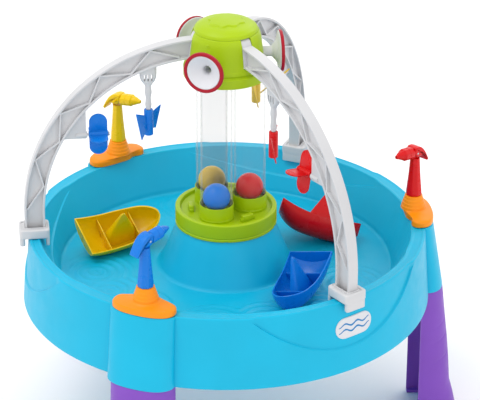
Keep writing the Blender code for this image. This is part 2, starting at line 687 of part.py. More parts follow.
def hanger_mesh():
    """Forked foot under the arch, a waisted stalk and the round rod the propeller turns on."""
    roof, middle = hanger_place()
    hub_top = middle + PROPELLER_HUB_LENGTH / 2
    hub_foot = middle - PROPELLER_HUB_LENGTH / 2
    levels = [
        (roof - 0.022, 0.0130, 0.0060), (roof - 0.033, 0.0050, 0.0042),
        (roof - 0.046, 0.0062, 0.0046), (roof - 0.056, 0.0044, 0.0040),
        (hub_top + 0.010, 0.0056, 0.0046), (hub_top + 0.0006, 0.0040, 0.0040),
        (hub_top + 0.0004, HANGER_ROD_R, HANGER_ROD_R), (hub_foot + 0.008, HANGER_ROD_R, HANGER_ROD_R),
    ]

    def ring(half_x, half_y, level):
        points = []
        for i in range(8):
            angle = tau * (i + 0.5) / 8
            x = half_x * cos(angle) / cos(pi / 8)
            points.append((x, half_y * sin(angle) / cos(pi / 8), level(x)))
        return points

    def under_arch(x):
        r = PROPELLER_AXIS_R + x - ARCH_CENTRE_R
        return ARCH_Z + sqrt((ARCH_INNER - 0.0008) ** 2 - r ** 2)

    rings = [ring(0.0150, 0.0070, under_arch)]
    for z, half_x, half_y in levels:
        rings.append(ring(half_x, half_y, lambda x, z=z: z))
    body = loft("hanger", rings)
    slots = [block("slot", (x - 0.0012, -0.02, roof - 0.025), (x + 0.0012, 0.02, roof - 0.0105))
             for x in (-0.0062, 0.0, 0.0062)]
    return carve(body, "DIFFERENCE", *slots)


def propeller_mesh():
    """Round hub with two twisted vanes, bored from above; the origin is its middle."""
    half = PROPELLER_HUB_LENGTH / 2
    hub = turned("propeller", [(0.0, -half), (PROPELLER_HUB_R - 0.001, -half),
                               (PROPELLER_HUB_R, -half + 0.001), (PROPELLER_HUB_R, half - 0.001),
                               (PROPELLER_HUB_R - 0.001, half), (0.0, half)], 18)
    bore = pin("bore", HANGER_ROD_R * 1.09 + RUN, -half + 0.007, half + 0.01, "Z", 12)
    vanes = []
    pitch = radians(14.0)
    for side in (1, -1):
        rings = []
        for r, height in ((PROPELLER_HUB_R - 0.0015, VANE_ROOT_HEIGHT), (PROPELLER_R, VANE_TIP_HEIGHT)):
            lean = pitch * (r / PROPELLER_R) * side
            corners = [(-VANE_THICK / 2, -height / 2), (VANE_THICK / 2, -height / 2),
                       (VANE_THICK / 2, height / 2), (-VANE_THICK / 2, height / 2)]
            rings.append([(side * r, y * cos(lean) - z * sin(lean), y * sin(lean) + z * cos(lean))
                          for y, z in corners])
        vanes.append(loft("vane", rings))
    return carve(carve(hub, "UNION", *vanes), "DIFFERENCE", bore)


def wheel_mesh():
    """Hub along X with round-ended paddles; the origin is its middle, on the axle."""
    half = WHEEL_WIDTH / 2
    hub = pin("wheel", WHEEL_HUB_R, -half, half, "X", 16)
    bore = pin("bore", AXLE_R + RUN, -half - 0.01, half + 0.01, "X", 12)
    outline = [(-half + 0.001, 0.0), (half - 0.001, 0.0)]
    bow = half - 0.001
    for i in range(7):
        angle = pi * i / 6
        outline.append((bow * cos(angle), WHEEL_R - bow + bow * sin(angle)))
    paddles = []
    for i in range(PADDLES // 2):
        for side in (1, -1):
            paddle = prism("paddle", [(x, side * (z + 0.004 if z == 0.0 else z)) for x, z in outline],
                           -0.0011, 0.0011, "Y")
            paddle.transform(Matrix.Rotation(i * tau / PADDLES, 4, "X"))
            paddles.append(paddle)
    return carve(carve(hub, "UNION", *paddles), "DIFFERENCE", bore)


def axle_mesh():
    """Pin from the arch's boss through the wheel, with a small head at its free end."""
    start = WHEEL_MID_R + WHEEL_WIDTH / 2 + 0.0042 + 0.0140
    end = WHEEL_MID_R - WHEEL_WIDTH / 2 - 0.0006
    profile = [(0.0, start), (AXLE_R, start), (AXLE_R, end), (AXLE_R * 2, end),
               (AXLE_R * 2, end - 0.002), (0.0, end - 0.0026)]
    return turned("axle", profile, 12, axis="X")


# ---------------------------------------------------------------- squirters
def cover_mesh():
    """Bean-shaped foot that bends with the rim and rises in steps to the swivel boss."""
    points = 20
    boss = STEM_FOOT_R

    def outline(scale, z, notch=True):
        ring = []
        for i in range(points):
            angle = tau * i / points
            c, s = cos(angle), sin(angle)
            x = COVER_HALF_DEPTH * scale * abs(c) ** 0.75 * (1 if c >= 0 else -1)
            y = COVER_HALF_WIDTH * scale * abs(s) ** 0.75 * (1 if s >= 0 else -1)
            if notch and c < 0:
                x += 0.007 * scale * exp(-((y + 0.030) / 0.010) ** 2)
            ring.append((centre + x - y * y / (2.2 * RIM_R), y, z))
        return ring

    def circle(radius, z):
        angles = [tau * i / points for i in range(points)]
        return [(PUMP_AXIS_R + radius * cos(a), radius * sin(a), z) for a in angles]

    centre = RIM_R + LOBE_TOP_OUT + 0.0008 - COVER_HALF_DEPTH
    edge = COVER_Z + COVER_EDGE
    step = (COVER_TOP - edge - 0.003) / 4
    rings = [
        outline(1.0, COVER_Z), outline(1.0, edge), outline(0.94, edge + 0.003),
        circle(boss + 0.0075, edge + 0.003 + step * 1.3), circle(boss + 0.0070, edge + 0.003 + step * 2),
        circle(boss + 0.0040, edge + 0.003 + step * 2.2), circle(boss + 0.0035, edge + 0.003 + step * 3),
        circle(boss + 0.0010, edge + 0.003 + step * 3.2), circle(boss + 0.0005, COVER_TOP),
        circle(SPIGOT_R + RUN, COVER_TOP), circle(SPIGOT_R + RUN, COVER_TOP - SPIGOT_LENGTH - 0.0012),
        circle(boss, COVER_TOP - SPIGOT_LENGTH - 0.0012), circle(boss + 0.0015, edge + 0.004),
        outline(0.86, edge - 0.002, False), outline(0.86, COVER_Z, False),
    ]
    return loft("pump_cover", rings, loop=True)


def stem_mesh():
    """Eight-sided stem on a spigot, with a tongue at the top that the trigger clips over."""
    profile = [
        (SPIGOT_R, -SPIGOT_LENGTH), (SPIGOT_R, 0.0), (STEM_FOOT_R - 0.001, 0.0),
        (STEM_FOOT_R, 0.003), (STEM_TOP_R + 0.0022, STEM_HEIGHT * 0.55),
        (STEM_TOP_R, STEM_HEIGHT),
    ]
    rings = []
    for r, z in profile:
        rings.append([(r * cos(tau * (i + 0.5) / 8), r * sin(tau * (i + 0.5) / 8), z) for i in range(8)])
    stem = loft("pump_stem", rings, smooth_angle=20.0)
    tongue = prism("tongue", [(-0.0040, STEM_HEIGHT - 0.002), (0.0070, STEM_HEIGHT - 0.002),
                              (NECK_FRONT, STEM_HEIGHT + 0.006), (NECK_FRONT, STEM_HEIGHT + 0.0175),
                              (-0.0015, STEM_HEIGHT + 0.0175), (-0.0040, STEM_HEIGHT + 0.012)],
                   -NECK_HALF_WIDTH, NECK_HALF_WIDTH, "Y")
    hole = pin("hole", PIN_R + RUN, -0.02, 0.02, "Y", 12, (PIN_PLACE[0], PIN_PLACE[2]))
    return carve(carve(stem, "UNION", tongue), "DIFFERENCE", hole)


def nozzle_mesh():
    """Eight-sided barrel that tapers to a bored tip and points slightly up."""
    rear = NECK_FRONT + GAP
    half_h = HEAD_HEIGHT / 2
    levels = [(0.0, HEAD_HALF_WIDTH, half_h - 0.0005), (0.0020, HEAD_HALF_WIDTH, half_h),
              (0.0230, HEAD_HALF_WIDTH, half_h), (0.0250, HEAD_HALF_WIDTH - 0.002, half_h - 0.002),
              (0.0330, 0.0062, 0.0066), (NOZZLE_LENGTH, 0.0030, 0.0032),
              (NOZZLE_LENGTH, 0.0012, 0.0012), (NOZZLE_LENGTH - 0.010, 0.0012, 0.0012)]
    rings = []
    for reach, half_w, half_tall in levels:
        z = HEAD_Z + 0.10 * min(reach, 0.033) + 0.02 * reach
        rings.append([(rear + reach, half_w * cos(tau * (i + 0.5) / 8) / cos(pi / 8),
                       z + half_tall * sin(tau * (i + 0.5) / 8) / cos(pi / 8)) for i in range(8)])
    return loft("nozzle", rings, smooth_angle=20.0)


def trigger_mesh():
    """Hood over the tongue with a curved tail behind the stem; the origin is its pivot."""
    top = HEAD_Z + HEAD_HEIGHT / 2
    px, pz = PIN_PLACE[0], PIN_PLACE[2]
    front = NECK_FRONT - 0.0002
    outline = [
        (front, pz + 0.0015), (front, top), (0.0020, top), (-0.0070, top - 0.0035),
        (-0.0145, top - 0.0110), (-0.0205, top - 0.0200), (-0.0275, top - 0.0330),
        (-0.0225, top - 0.0350), (-0.0165, top - 0.0235), (-0.0105, top - 0.0165),
        (-0.0068, STEM_HEIGHT + 0.0045), (0.0060, STEM_HEIGHT + 0.0045),
    ]
    body = prism("trigger", outline, -HEAD_HALF_WIDTH, HEAD_HALF_WIDTH, "Y")
    slot = block("slot", (-0.0072, -NECK_HALF_WIDTH - GAP, STEM_HEIGHT - 0.01),
                 (0.03, NECK_HALF_WIDTH + GAP, STEM_HEIGHT + 0.0190))
    hole = pin("hole", PIN_R + RUN, -0.02, 0.02, "Y", 12, (px, pz))
    body = carve(body, "DIFFERENCE", slot, hole)
    body.transform(Matrix.Translation((-px, 0.0, -pz)))
    return body


# ---------------------------------------------------------------- boats
def boat_mesh():
    """Thin hull, bow on +X and a flat stern, with a folded sail and two ribs; origin under the keel."""
    def shape(s):
        spread = 0.94 - 0.06 * s - 0.30 * max(s, 0.0) ** 1.5
        if s > 0.45:
            spread *= (1.0 - ((s - 0.45) / 0.56) ** 2.6) ** 0.5
        half = BOAT_BEAM / 2 * spread
        gunwale = BOAT_DEPTH + BOAT_SHEER * s * s
        keel = 0.70 * BOAT_DEPTH * abs(s) ** 3.5
        return half, gunwale, keel

    def section(s, inset, lift, drop):
        half, gunwale, keel = shape(s)
        half, gunwale, keel = max(half - inset, 0.0006), gunwale + lift, keel + drop
        points = []
        for i in range(7):
            angle = pi * (i / 6 - 0.5)
            points.append((BOAT_LENGTH / 2 * s, half * sin(angle),
                           gunwale - (gunwale - keel) * cos(angle) ** 0.9))
        return points

    ends = [-1.0, -0.70, -0.3, 0.10, 0.45, 0.70, 0.88, 1.0]
    hull = loft("boat", [section(s, 0.0, 0.0, 0.0) for s in ends])
    shorten = 1.0 - 2.0 * BOAT_WALL / BOAT_LENGTH
    inner = [section(s * shorten, BOAT_WALL, 0.0, BOAT_WALL) for s in ends]
    raised = []
    for ring in inner:
        x, half, gunwale = ring[-1]
        above = gunwale + 0.02
        raised.append([(x, -half, above), *ring, (x, half, above)])
    hollow = loft("hollow", raised)
    def sail(*low):
        levels = [(z, 1.0, 1.0) for z in low] + [(SAIL_HEIGHT, 0.08, 0.14)]
        return loft("sail", [[(sx * along * SAIL_LENGTH / 2, sy * across * SAIL_THICK / 2, z)
                              for sx, sy in ((-1, -1), (1, -1), (1, 1), (-1, 1))]
                             for z, along, across in levels])

    root = BOAT_DEPTH * 0.25
    ribs = [block("rib", (x - 0.0009, -BOAT_BEAM, -0.01), (x + 0.0009, BOAT_BEAM, BOAT_DEPTH - 0.006))
            for x in (-0.42 * BOAT_LENGTH / 2, 0.38 * BOAT_LENGTH / 2)]
    hollow = carve(hollow, "DIFFERENCE", sail(-0.01, root), *ribs)
    return carve(carve(hull, "UNION", sail(root)), "DIFFERENCE", hollow)


def boat_pose(mesh, place):
    """Rotation of a boat and the height that lays it on the basin floor."""
    radius, azimuth, heading, roll, pitch = place
    turn = Euler((radians(roll), radians(pitch), radians(heading)), "XYZ")
    lowest = min((turn.to_matrix() @ vertex.co).z for vertex in mesh.vertices)
    angle = radians(azimuth)
    spot = (radius * cos(angle), radius * sin(angle), FLOOR_Z + 0.0006 - lowest)
    return spot, turn


# ---------------------------------------------------------------- assembly
def build_sector(colour, tower, finish, meshes):
    """Everything that repeats three times, for one colour."""
    azimuth = radians(SQUIRTER_AZIMUTH[colour])
    sector = empty("sector_" + colour, tower, rotation=(0.0, 0.0, azimuth))
    arch = empty("arch_frame_" + colour, tower, rotation=(0.0, 0.0, azimuth + radians(ARCH_TURN)))
    own = finish[colour + "_plastic"]
    node("leg_" + colour, meshes["leg"], finish["purple_plastic"], sector)
    node("tube_" + colour, meshes["tube"], finish["clear_plastic"], sector, (TUBE_AXIS_R, 0.0, TUBE_Z))
    node("ball_" + colour, meshes["ball"], own, sector, (TUBE_AXIS_R, 0.0, SEAT_Z + GAP + BALL_R))
    lift = (0.0, 0.0, TARGET_Z)
    node("target_" + colour, meshes["target"], finish["white_plastic"], sector, lift)
    node("target_ring_" + colour, meshes["target_ring"], finish["crimson_plastic"], sector, lift)
    node("arch_" + colour, meshes["arch"], finish["grey_plastic"], arch)
    node("arch_clamp_" + colour, meshes["clamp"], finish["grey_plastic"], arch)
    node("hanger_" + colour, meshes["hanger"], finish["grey_plastic"], arch,
         (PROPELLER_AXIS_R, 0.0, 0.0))
    node("propeller_" + colour, meshes["propeller"], own, arch,
         (PROPELLER_AXIS_R, 0.0, hanger_place()[1]), (0.0, 0.0, radians(PROPELLER_TURN[colour])))
    node("wheel_axle_" + colour, meshes["axle"], finish["steel"], arch, (0.0, 0.0, WHEEL_Z))
    node("paddle_wheel_" + colour, meshes["wheel"], own, arch, (WHEEL_MID_R, 0.0, WHEEL_Z),
         (radians(WHEEL_TURN[colour]), 0.0, 0.0))
    node("pump_cover_" + colour, meshes["cover"], finish["orange_plastic"], sector)
    swivel = empty("swivel_" + colour, sector, (PUMP_AXIS_R, 0.0, STEM_Z),
                   (0.0, 0.0, pi + radians(SQUIRTER_TURN[colour])))
    node("pump_stem_" + colour, meshes["stem"], own, swivel)
    node("nozzle_" + colour, meshes["nozzle"], own, swivel)
    node("trigger_pin_" + colour, meshes["pin"], finish["steel"], swivel, PIN_PLACE)
    node("trigger_" + colour, meshes["trigger"], own, swivel, PIN_PLACE)
    spot, turn = boat_pose(meshes["boat"], BOAT_PLACE[colour])
    node("boat_" + colour, meshes["boat"], own, tower, spot, turn)


def main():
    clear_scene()
    finish = make_materials()
    tower = empty("tower_axis", None, (0.0, TOWER_Y, 0.0))
    meshes = {
        "leg": leg_mesh(), "tube": tube_mesh(), "ball": ball_mesh(), "target": target_mesh(),
        "target_ring": target_ring_mesh(), "arch": arch_mesh(), "clamp": clamp_mesh(),
        "hanger": hanger_mesh(), "propeller": propeller_mesh(), "axle": axle_mesh(),
        "wheel": wheel_mesh(), "cover": cover_mesh(), "stem": stem_mesh(), "nozzle": nozzle_mesh(),
        "trigger": trigger_mesh(), "boat": boat_mesh(),
        "pin": pin("trigger_pin", PIN_R, -HEAD_HALF_WIDTH, HEAD_HALF_WIDTH, "Y", 12),
    }
    node("tray", tray_mesh(), finish["aqua_plastic"], tower)
    node("badge", badge_mesh(), finish["white_plastic"], tower)
    node("tower_base", tower_base_mesh(), finish["lime_plastic"], tower,
         rotation=(0.0, 0.0, radians(SQUIRTER_AZIMUTH["blue"])))
    node("hub_body", hub_body_mesh(), finish["lime_plastic"], tower,
         rotation=(0.0, 0.0, radians(SQUIRTER_AZIMUTH["blue"])))
    node("hub_cap", hub_cap_mesh(), finish["lime_plastic"], tower,
         rotation=(0.0, 0.0, radians(SQUIRTER_AZIMUTH["blue"])))
    for colour in COLOURS:
        build_sector(colour, tower, finish, meshes)


main()
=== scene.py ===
# %% [markdown]
# # A water play table
# This lesson dresses a table for playing with water. Its solids were made before, to real sizes, and
# they know how every squirter, spinner, ball and boat moves. Here each solid gets the look of the real
# moulding: finer surfaces worked out with numpy, and plastics made from nodes.
#
# We begin by loading the solids. Every place used later is read from them, so a surface that we draw
# always lands where its solid is. The tower in the middle is the natural centre: the table repeats
# three times round it.

# %% Load the solids and find the tower
import json

import bpy
import numpy as np
from mathutils import Matrix, Vector


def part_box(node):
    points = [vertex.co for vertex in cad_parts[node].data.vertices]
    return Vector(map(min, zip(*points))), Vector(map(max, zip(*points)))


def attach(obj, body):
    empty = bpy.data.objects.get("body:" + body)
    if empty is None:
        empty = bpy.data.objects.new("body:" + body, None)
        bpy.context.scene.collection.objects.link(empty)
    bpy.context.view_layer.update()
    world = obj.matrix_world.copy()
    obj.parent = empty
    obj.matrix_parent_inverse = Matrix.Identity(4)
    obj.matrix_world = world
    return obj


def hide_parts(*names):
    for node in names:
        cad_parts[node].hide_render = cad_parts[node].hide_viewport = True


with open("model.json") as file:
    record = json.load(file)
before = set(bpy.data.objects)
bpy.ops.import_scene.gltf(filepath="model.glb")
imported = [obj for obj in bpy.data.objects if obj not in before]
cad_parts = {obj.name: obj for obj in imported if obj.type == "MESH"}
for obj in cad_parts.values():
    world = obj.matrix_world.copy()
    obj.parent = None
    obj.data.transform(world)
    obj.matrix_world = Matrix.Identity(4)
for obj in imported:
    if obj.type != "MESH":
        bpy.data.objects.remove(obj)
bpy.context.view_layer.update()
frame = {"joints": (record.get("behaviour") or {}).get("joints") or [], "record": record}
mounts = {mount["name"]: np.array(mount["pos_m"]) for mount in frame["record"]["mounts"]}
joints = {joint["name"]: joint for joint in frame["joints"]}
colours = ("blue", "red", "yellow")


def corners(node):
    """Lowest and highest corner of a solid, as arrays."""
    low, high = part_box(node)
    return np.array(low), np.array(high)


tower = sum(corners("hub_body")) / 2 * (1, 1, 0)
rim_z = mounts["rim_top"][2]
floor_z = mounts["basin_floor"][2]


def bearing(joint_name):
    """Angle of a joint round the tower, from +X: the arctangent of its y over its x."""
    x, y = np.array(joints[joint_name]["pos_m"])[:2] - tower[:2]
    return np.arctan2(y, x)


squirter_turn = {colour: bearing(f"{colour}_swivel") for colour in colours}
arch_turn = {colour: bearing(f"{colour}_wheel_spin") for colour in colours}
print("tower at", tower.round(4), "rim at", rim_z, "floor at", floor_z)

# %% [markdown]
# ## The camera
# A long lens a few metres away shows the table the way a catalogue does, with nearly parallel edges.
# The camera looks down by 27 degrees, from a little to the right of the blue squirter. A small shift
# of the film puts the rim a little left of the middle, without turning the camera.

# %% Camera
view_turn, view_tilt, view_distance = np.radians(23.36), np.radians(26.63), 4.553
towards_camera = np.array([np.sin(view_turn) * np.cos(view_tilt),
                           -np.cos(view_turn) * np.cos(view_tilt), np.sin(view_tilt)])
camera = bpy.data.objects.new("camera", bpy.data.cameras.new("camera"))
bpy.context.scene.collection.objects.link(camera)
camera.location = tower + (0, 0, rim_z) + view_distance * towards_camera
camera.rotation_euler = (np.pi / 2 - view_tilt, 0, view_turn)
film_width, focal_length, film_shift, far_limit = 36, 191.3, (0.0292, 0.0502), 100
camera.data.sensor_width, camera.data.lens = film_width, focal_length
camera.data.shift_x, camera.data.shift_y = film_shift
camera.data.clip_end = far_limit
bpy.context.scene.camera = camera
print("camera at", np.round(camera.location, 3))

# %% [markdown]
# ## Light and floor
# Coloured plastic looks best in broad, soft light: a hard lamp would put a burnt spot on every curve.
# A pale world lights the shadows, one large panel stands high on the left, and a weaker one fills from
# the right. The floor is a wide pale sheet, so that the table stands on something.

# %% World, floor and panels
world = bpy.data.worlds.new("studio")
world.use_nodes = True
world.node_tree.nodes["Background"].inputs["Color"].default_value = (1.0, 1.0, 1.0, 1.0)
world.node_tree.nodes["Background"].inputs["Strength"].default_value = 1.12
bpy.context.scene.world = world
bpy.context.scene.view_settings.view_transform = "Standard"


def soft_panel(name, place, watts, width):
    """A square lamp at a place, turned to face the tower's middle."""
    lamp = bpy.data.objects.new(name, bpy.data.lights.new(name, "AREA"))
    bpy.context.scene.collection.objects.link(lamp)
    lamp.data.energy, lamp.data.size = watts, width
    lamp.location = place
    lamp.rotation_mode = "QUATERNION"
    lamp.rotation_quaternion = Vector(np.array(place) - tower - (0, 0, rim_z)).to_track_quat("Z", "Y")


for name, place, watts, width in (("key_panel", (-1.2, -1.0, 3.4), 36, 1.6),
                                  ("fill_panel", (2.6, -1.8, 1.6), 8, 2.0),
                                  ("back_panel", (0.4, 2.6, 2.6), 12, 1.6)):
    soft_panel(name, place, watts, width)

floor_mesh = bpy.data.meshes.new("studio_floor")
floor_mesh.from_pydata([(-30, -30, 0), (30, -30, 0), (30, 30, 0), (-30, 30, 0)], [], [(0, 1, 2, 3)])
studio_floor = bpy.data.objects.new("studio_floor", floor_mesh)
bpy.context.scene.collection.objects.link(studio_floor)

# %% [markdown]
# ## Lines and skins
# Every moulding here starts as a line of a few corners. Moulded plastic has no sharp corner, so
# `rounded` bends each corner into a short curve. Then a line is turned round an axis, carried along a
# path or pushed up into a slab, and `skin` covers the grid of points with faces.

# %% Rounded lines
def rounded(points, radius, steps=4, closed=True):
    """Each corner P becomes the parabola (1-t)^2 A + 2t(1-t) P + t^2 C for t from 0 to 1.
    A and C lie on the corner's two sides, one radius away or at most 45% of the side."""
    points = np.asarray(points, float)
    back, ahead = np.roll(points, 1, 0) - points, np.roll(points, -1, 0) - points
    back_size = np.linalg.norm(back, axis=1) + 1e-12
    ahead_size = np.linalg.norm(ahead, axis=1) + 1e-12
    reach = np.minimum(np.zeros(len(points)) + radius, 0.45 * np.minimum(back_size, ahead_size))
    if not closed:
        reach[[0, -1]] = 0
    start = (points + back * (reach / back_size)[:, None])[:, None]
    end = (points + ahead * (reach / ahead_size)[:, None])[:, None]
    t = np.linspace(0, 1, steps + 1)[None, :, None]
    curve = (1 - t) ** 2 * start + 2 * t * (1 - t) * points[:, None] + t ** 2 * end
    return curve.reshape(-1, points.shape[1])


def finer(line, spacing):
    """The same line with extra points, so that no two are further apart than the spacing."""
    length = np.append(0, np.cumsum(np.linalg.norm(np.diff(line, axis=0), axis=1)))
    stops = np.unique(np.append(length, np.arange(0, length[-1], spacing)).round(7))
    return np.stack([np.interp(stops, length, column) for column in line.T], axis=1)


def ease(low, high, value):
    """0 below low, 1 above high, and 3t^2 - 2t^3 between them."""
    t = np.clip((np.asarray(value, float) - low) / (high - low), 0, 1)
    return t * t * (3 - 2 * t)


def drawn_in(outline, inset):
    """Moves a closed line inwards: each point goes along the mean of its two sides' normals."""
    side = np.roll(outline, -1, 0) - outline
    x, y = outline.T
    area = np.sum(x * np.roll(y, -1) - y * np.roll(x, -1))
    normal = np.stack([-side[:, 1], side[:, 0]], 1) * np.sign(area)
    normal /= np.linalg.norm(normal, axis=1)[:, None] + 1e-12
    mean = normal + np.roll(normal, 1, 0)
    mean /= np.linalg.norm(mean, axis=1)[:, None] + 1e-12
    share = np.clip(np.sum(mean * normal, axis=1), 0.5, 1)
    return outline + mean * (inset / share)[:, None]


# %% Skins
def skin(points, along=False, capped=True):
    """Covers a grid of points[row, column] whose columns go all the way round.
    Each square of four neighbours is a face; along also joins the last row to the first, and capped
    closes the two end rows. The volume is the sum of a.(b x c)/6 over the triangles: where it comes
    out negative the faces look inwards, so all are turned round."""
    rows, columns = points.shape[:2]
    flat = points.reshape(-1, 3)
    index = np.arange(rows * columns).reshape(rows, columns)
    index = np.concatenate([index, index[:, :1]], 1)
    if along:
        index = np.concatenate([index, index[:1]], 0)
    quads = np.stack([index[:-1, :-1], index[:-1, 1:], index[1:, 1:], index[1:, :-1]], -1).reshape(-1, 4)
    ends = [index[0, -2::-1], index[-1, :-1]] if capped and not along else []
    triangles = [quads[:, [0, 1, 2]], quads[:, [0, 2, 3]]]
    triangles += [np.stack([np.full(len(end) - 2, end[0]), end[1:-1], end[2:]], 1) for end in ends]
    a, b, c = (flat - flat.mean(0))[np.concatenate(triangles)].transpose(1, 0, 2)
    faces = quads.tolist() + [end.tolist() for end in ends]
    if np.sum(a * np.cross(b, c)) < 0:
        faces = [face[::-1] for face in faces]
    return flat, faces


def turned(profile, segments=72, axis="Z", along=False):
    """Turns a line of (r, z) round an axis: x = r cos q and y = r sin q, for q from 0 to a full turn."""
    r, z = np.asarray(profile, float).T[:, :, None]
    q = np.linspace(0, 2 * np.pi, segments, endpoint=False)
    points = np.stack([r * np.cos(q), r * np.sin(q), z + 0 * q], -1)
    if axis == "X":
        points = points[:, :, [2, 0, 1]]
    return skin(points, along)


def slab(outline, low, high, edge=0.0008, axis="Z", steps=3):
    """Pushes a closed line from one level to another. Near both faces the line is drawn in by
    e(1 - cos q) at a height of e(1 - sin q), for q from 0 to a quarter turn, so the rims are round."""
    q = np.linspace(0, np.pi / 2, steps + 1)
    insets, rises = edge * (1 - np.cos(q)), edge * (1 - np.sin(q))
    levels = [(inset, low + rise) for inset, rise in zip(insets[::-1], rises[::-1])]
    levels += [(inset, high - rise) for inset, rise in zip(insets, rises)]
    order = {"Z": [0, 1, 2], "Y": [0, 2, 1], "X": [2, 0, 1]}[axis]
    rings = [np.column_stack([drawn_in(outline, inset), np.full(len(outline), level)])
             for inset, level in levels]
    return skin(np.stack(rings)[:, :, order])


def box_line(x_low, x_high, y_low, y_high, radius=0.001, steps=3):
    """A rectangle with rounded corners."""
    return rounded([(x_low, y_low), (x_high, y_low), (x_high, y_high), (x_low, y_high)], radius, steps)


# %% Places and pieces
def spun(points, turn, axis="Z"):
    """Turns points round an axis through the origin, with the usual rotation matrix."""
    return points @ np.array(Matrix.Rotation(turn, 3, axis)).T


def placed(shells, turn=0.0, shift=(0, 0, 0), origin=None):
    """Shifts shells, turns them round Z, then moves their origin to the tower's foot."""
    origin = tower if origin is None else origin
    return [(spun(points + shift, turn) + origin, faces) for points, faces in shells]


def make_piece(name, shells, material, body, node=None, sharp=38):
    """One object from closed shells, merged where they share points, smooth except at sharp edges."""
    points = np.concatenate([shell[0] for shell in shells])
    starts = np.cumsum([0] + [len(shell[0]) for shell in shells])
    faces = [[start + corner for corner in face] for start, (_, shell) in zip(starts, shells)
             for face in shell]
    mesh = bpy.data.meshes.new(name)
    mesh.from_pydata(points, [], faces)
    piece = bpy.data.objects.new(name, mesh)
    bpy.context.scene.collection.objects.link(piece)
    weld = piece.modifiers.new("weld", "WELD")
    weld.merge_threshold = 2e-6
    graph = bpy.context.evaluated_depsgraph_get()
    piece.data = bpy.data.meshes.new_from_object(piece.evaluated_get(graph))
    piece.modifiers.clear()
    bpy.data.meshes.remove(mesh)
    piece.data.name = name
    piece.data.shade_smooth()
    piece.data.set_sharp_from_angle(angle=np.radians(sharp))
    piece.data.materials.clear()
    piece.data.materials.append(material)
    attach(piece, body)
    if node:
        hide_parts(node)
    return piece


# %% [markdown]
# ## Plastics
# Moulded polypropylene is never one flat colour. The pigment drifts a little, the mould leaves a fine
# grain, handling rubs the corners paler, and a table that lives outdoors gathers dust where it faces
# up. Each of these effects is a small node group, built once. A material places the groups with its
# own numbers and keeps its shader to itself.

# %% Node helpers
def add_node(tree, kind, sockets=None, **settings):
    """Adds a shader node; a socket takes either a plain value or another node's output."""
    made = tree.nodes.new("ShaderNode" + kind)
    for name, value in settings.items():
        setattr(made, name, value)
    for name, value in (sockets or {}).items():
        if isinstance(value, bpy.types.NodeSocket):
            tree.links.new(value, made.inputs[name])
        else:
            made.inputs[name].default_value = value
    return made.outputs


def new_group(name, inputs, outputs):
    """An empty node group with named inputs (and their values) and named outputs."""
    group = bpy.data.node_groups.new(name, "ShaderNodeTree")
    kinds = {"Colour": "NodeSocketColor", "Normal": "NodeSocketVector"}
    for label, value in inputs.items():
        socket = group.interface.new_socket(label, in_out="INPUT",
                                            socket_type=kinds.get(label, "NodeSocketFloat"))
        socket.default_value = value
    for label in outputs:
        group.interface.new_socket(label, in_out="OUTPUT", socket_type=kinds.get(label, "NodeSocketFloat"))
    return group, group.nodes.new("NodeGroupInput").outputs, group.nodes.new("NodeGroupOutput").inputs


def spread(tree, value, low, high, from_low=0.3, from_high=0.7):
    """Maps a value from one range to another, and holds it there."""
    return add_node(tree, "MapRange", {"Value": value, "From Min": from_low, "From Max": from_high,
                                       "To Min": low, "To Max": high})["Result"]


# %% The moulding group
moulding, given, result = new_group(
    "moulding", {"Colour": (0.5, 0.5, 0.5, 1), "Drift": 0.05, "Roughness": 0.35, "Grain per metre": 900.0,
                 "Grain depth": 0.05}, ("Colour", "Roughness", "Normal"))
place = add_node(moulding, "TexCoord")["Object"]
slow = add_node(moulding, "TexNoise", {"Vector": place, "Scale": 11.0, "Detail": 3.0})["Fac"]
smudge = add_node(moulding, "TexNoise", {"Vector": place, "Scale": 46.0, "Detail": 4.0})["Fac"]
grain = add_node(moulding, "TexNoise", {"Vector": place, "Scale": given["Grain per metre"],
                                        "Detail": 2.0})["Fac"]
swing = add_node(moulding, "Math", {0: spread(moulding, slow, -1, 1), 1: given["Drift"], 2: 1.0},
                 operation="MULTIPLY_ADD")[0]
shade = add_node(moulding, "HueSaturation", {"Value": swing, "Color": given["Colour"]})["Color"]
moulding.links.new(shade, result["Colour"])
rough = add_node(moulding, "Math", {0: spread(moulding, smudge, -0.05, 0.07), 1: given["Roughness"]},
                 operation="ADD", use_clamp=True)[0]
moulding.links.new(rough, result["Roughness"])
bumped = add_node(moulding, "Bump", {"Height": grain, "Strength": given["Grain depth"],
                                     "Distance": 0.0004})["Normal"]
moulding.links.new(bumped, result["Normal"])

# %% Rubbed edges and settled dust
rubbed_edges, given, result = new_group("rubbed_edges", {"Amount": 0.3}, ("Mask",))
place = add_node(rubbed_edges, "TexCoord")["Object"]
edge = add_node(rubbed_edges, "NewGeometry")["Pointiness"]
patches = add_node(rubbed_edges, "TexNoise", {"Vector": place, "Scale": 70.0, "Detail": 5.0})["Fac"]
outer = spread(rubbed_edges, edge, 0.0, 1.0, 0.53, 0.62)
broken = add_node(rubbed_edges, "Math", {0: outer, 1: spread(rubbed_edges, patches, 0.2, 1.0)},
                  operation="MULTIPLY")[0]
mask = add_node(rubbed_edges, "Math", {0: broken, 1: given["Amount"]}, operation="MULTIPLY")[0]
rubbed_edges.links.new(mask, result["Mask"])

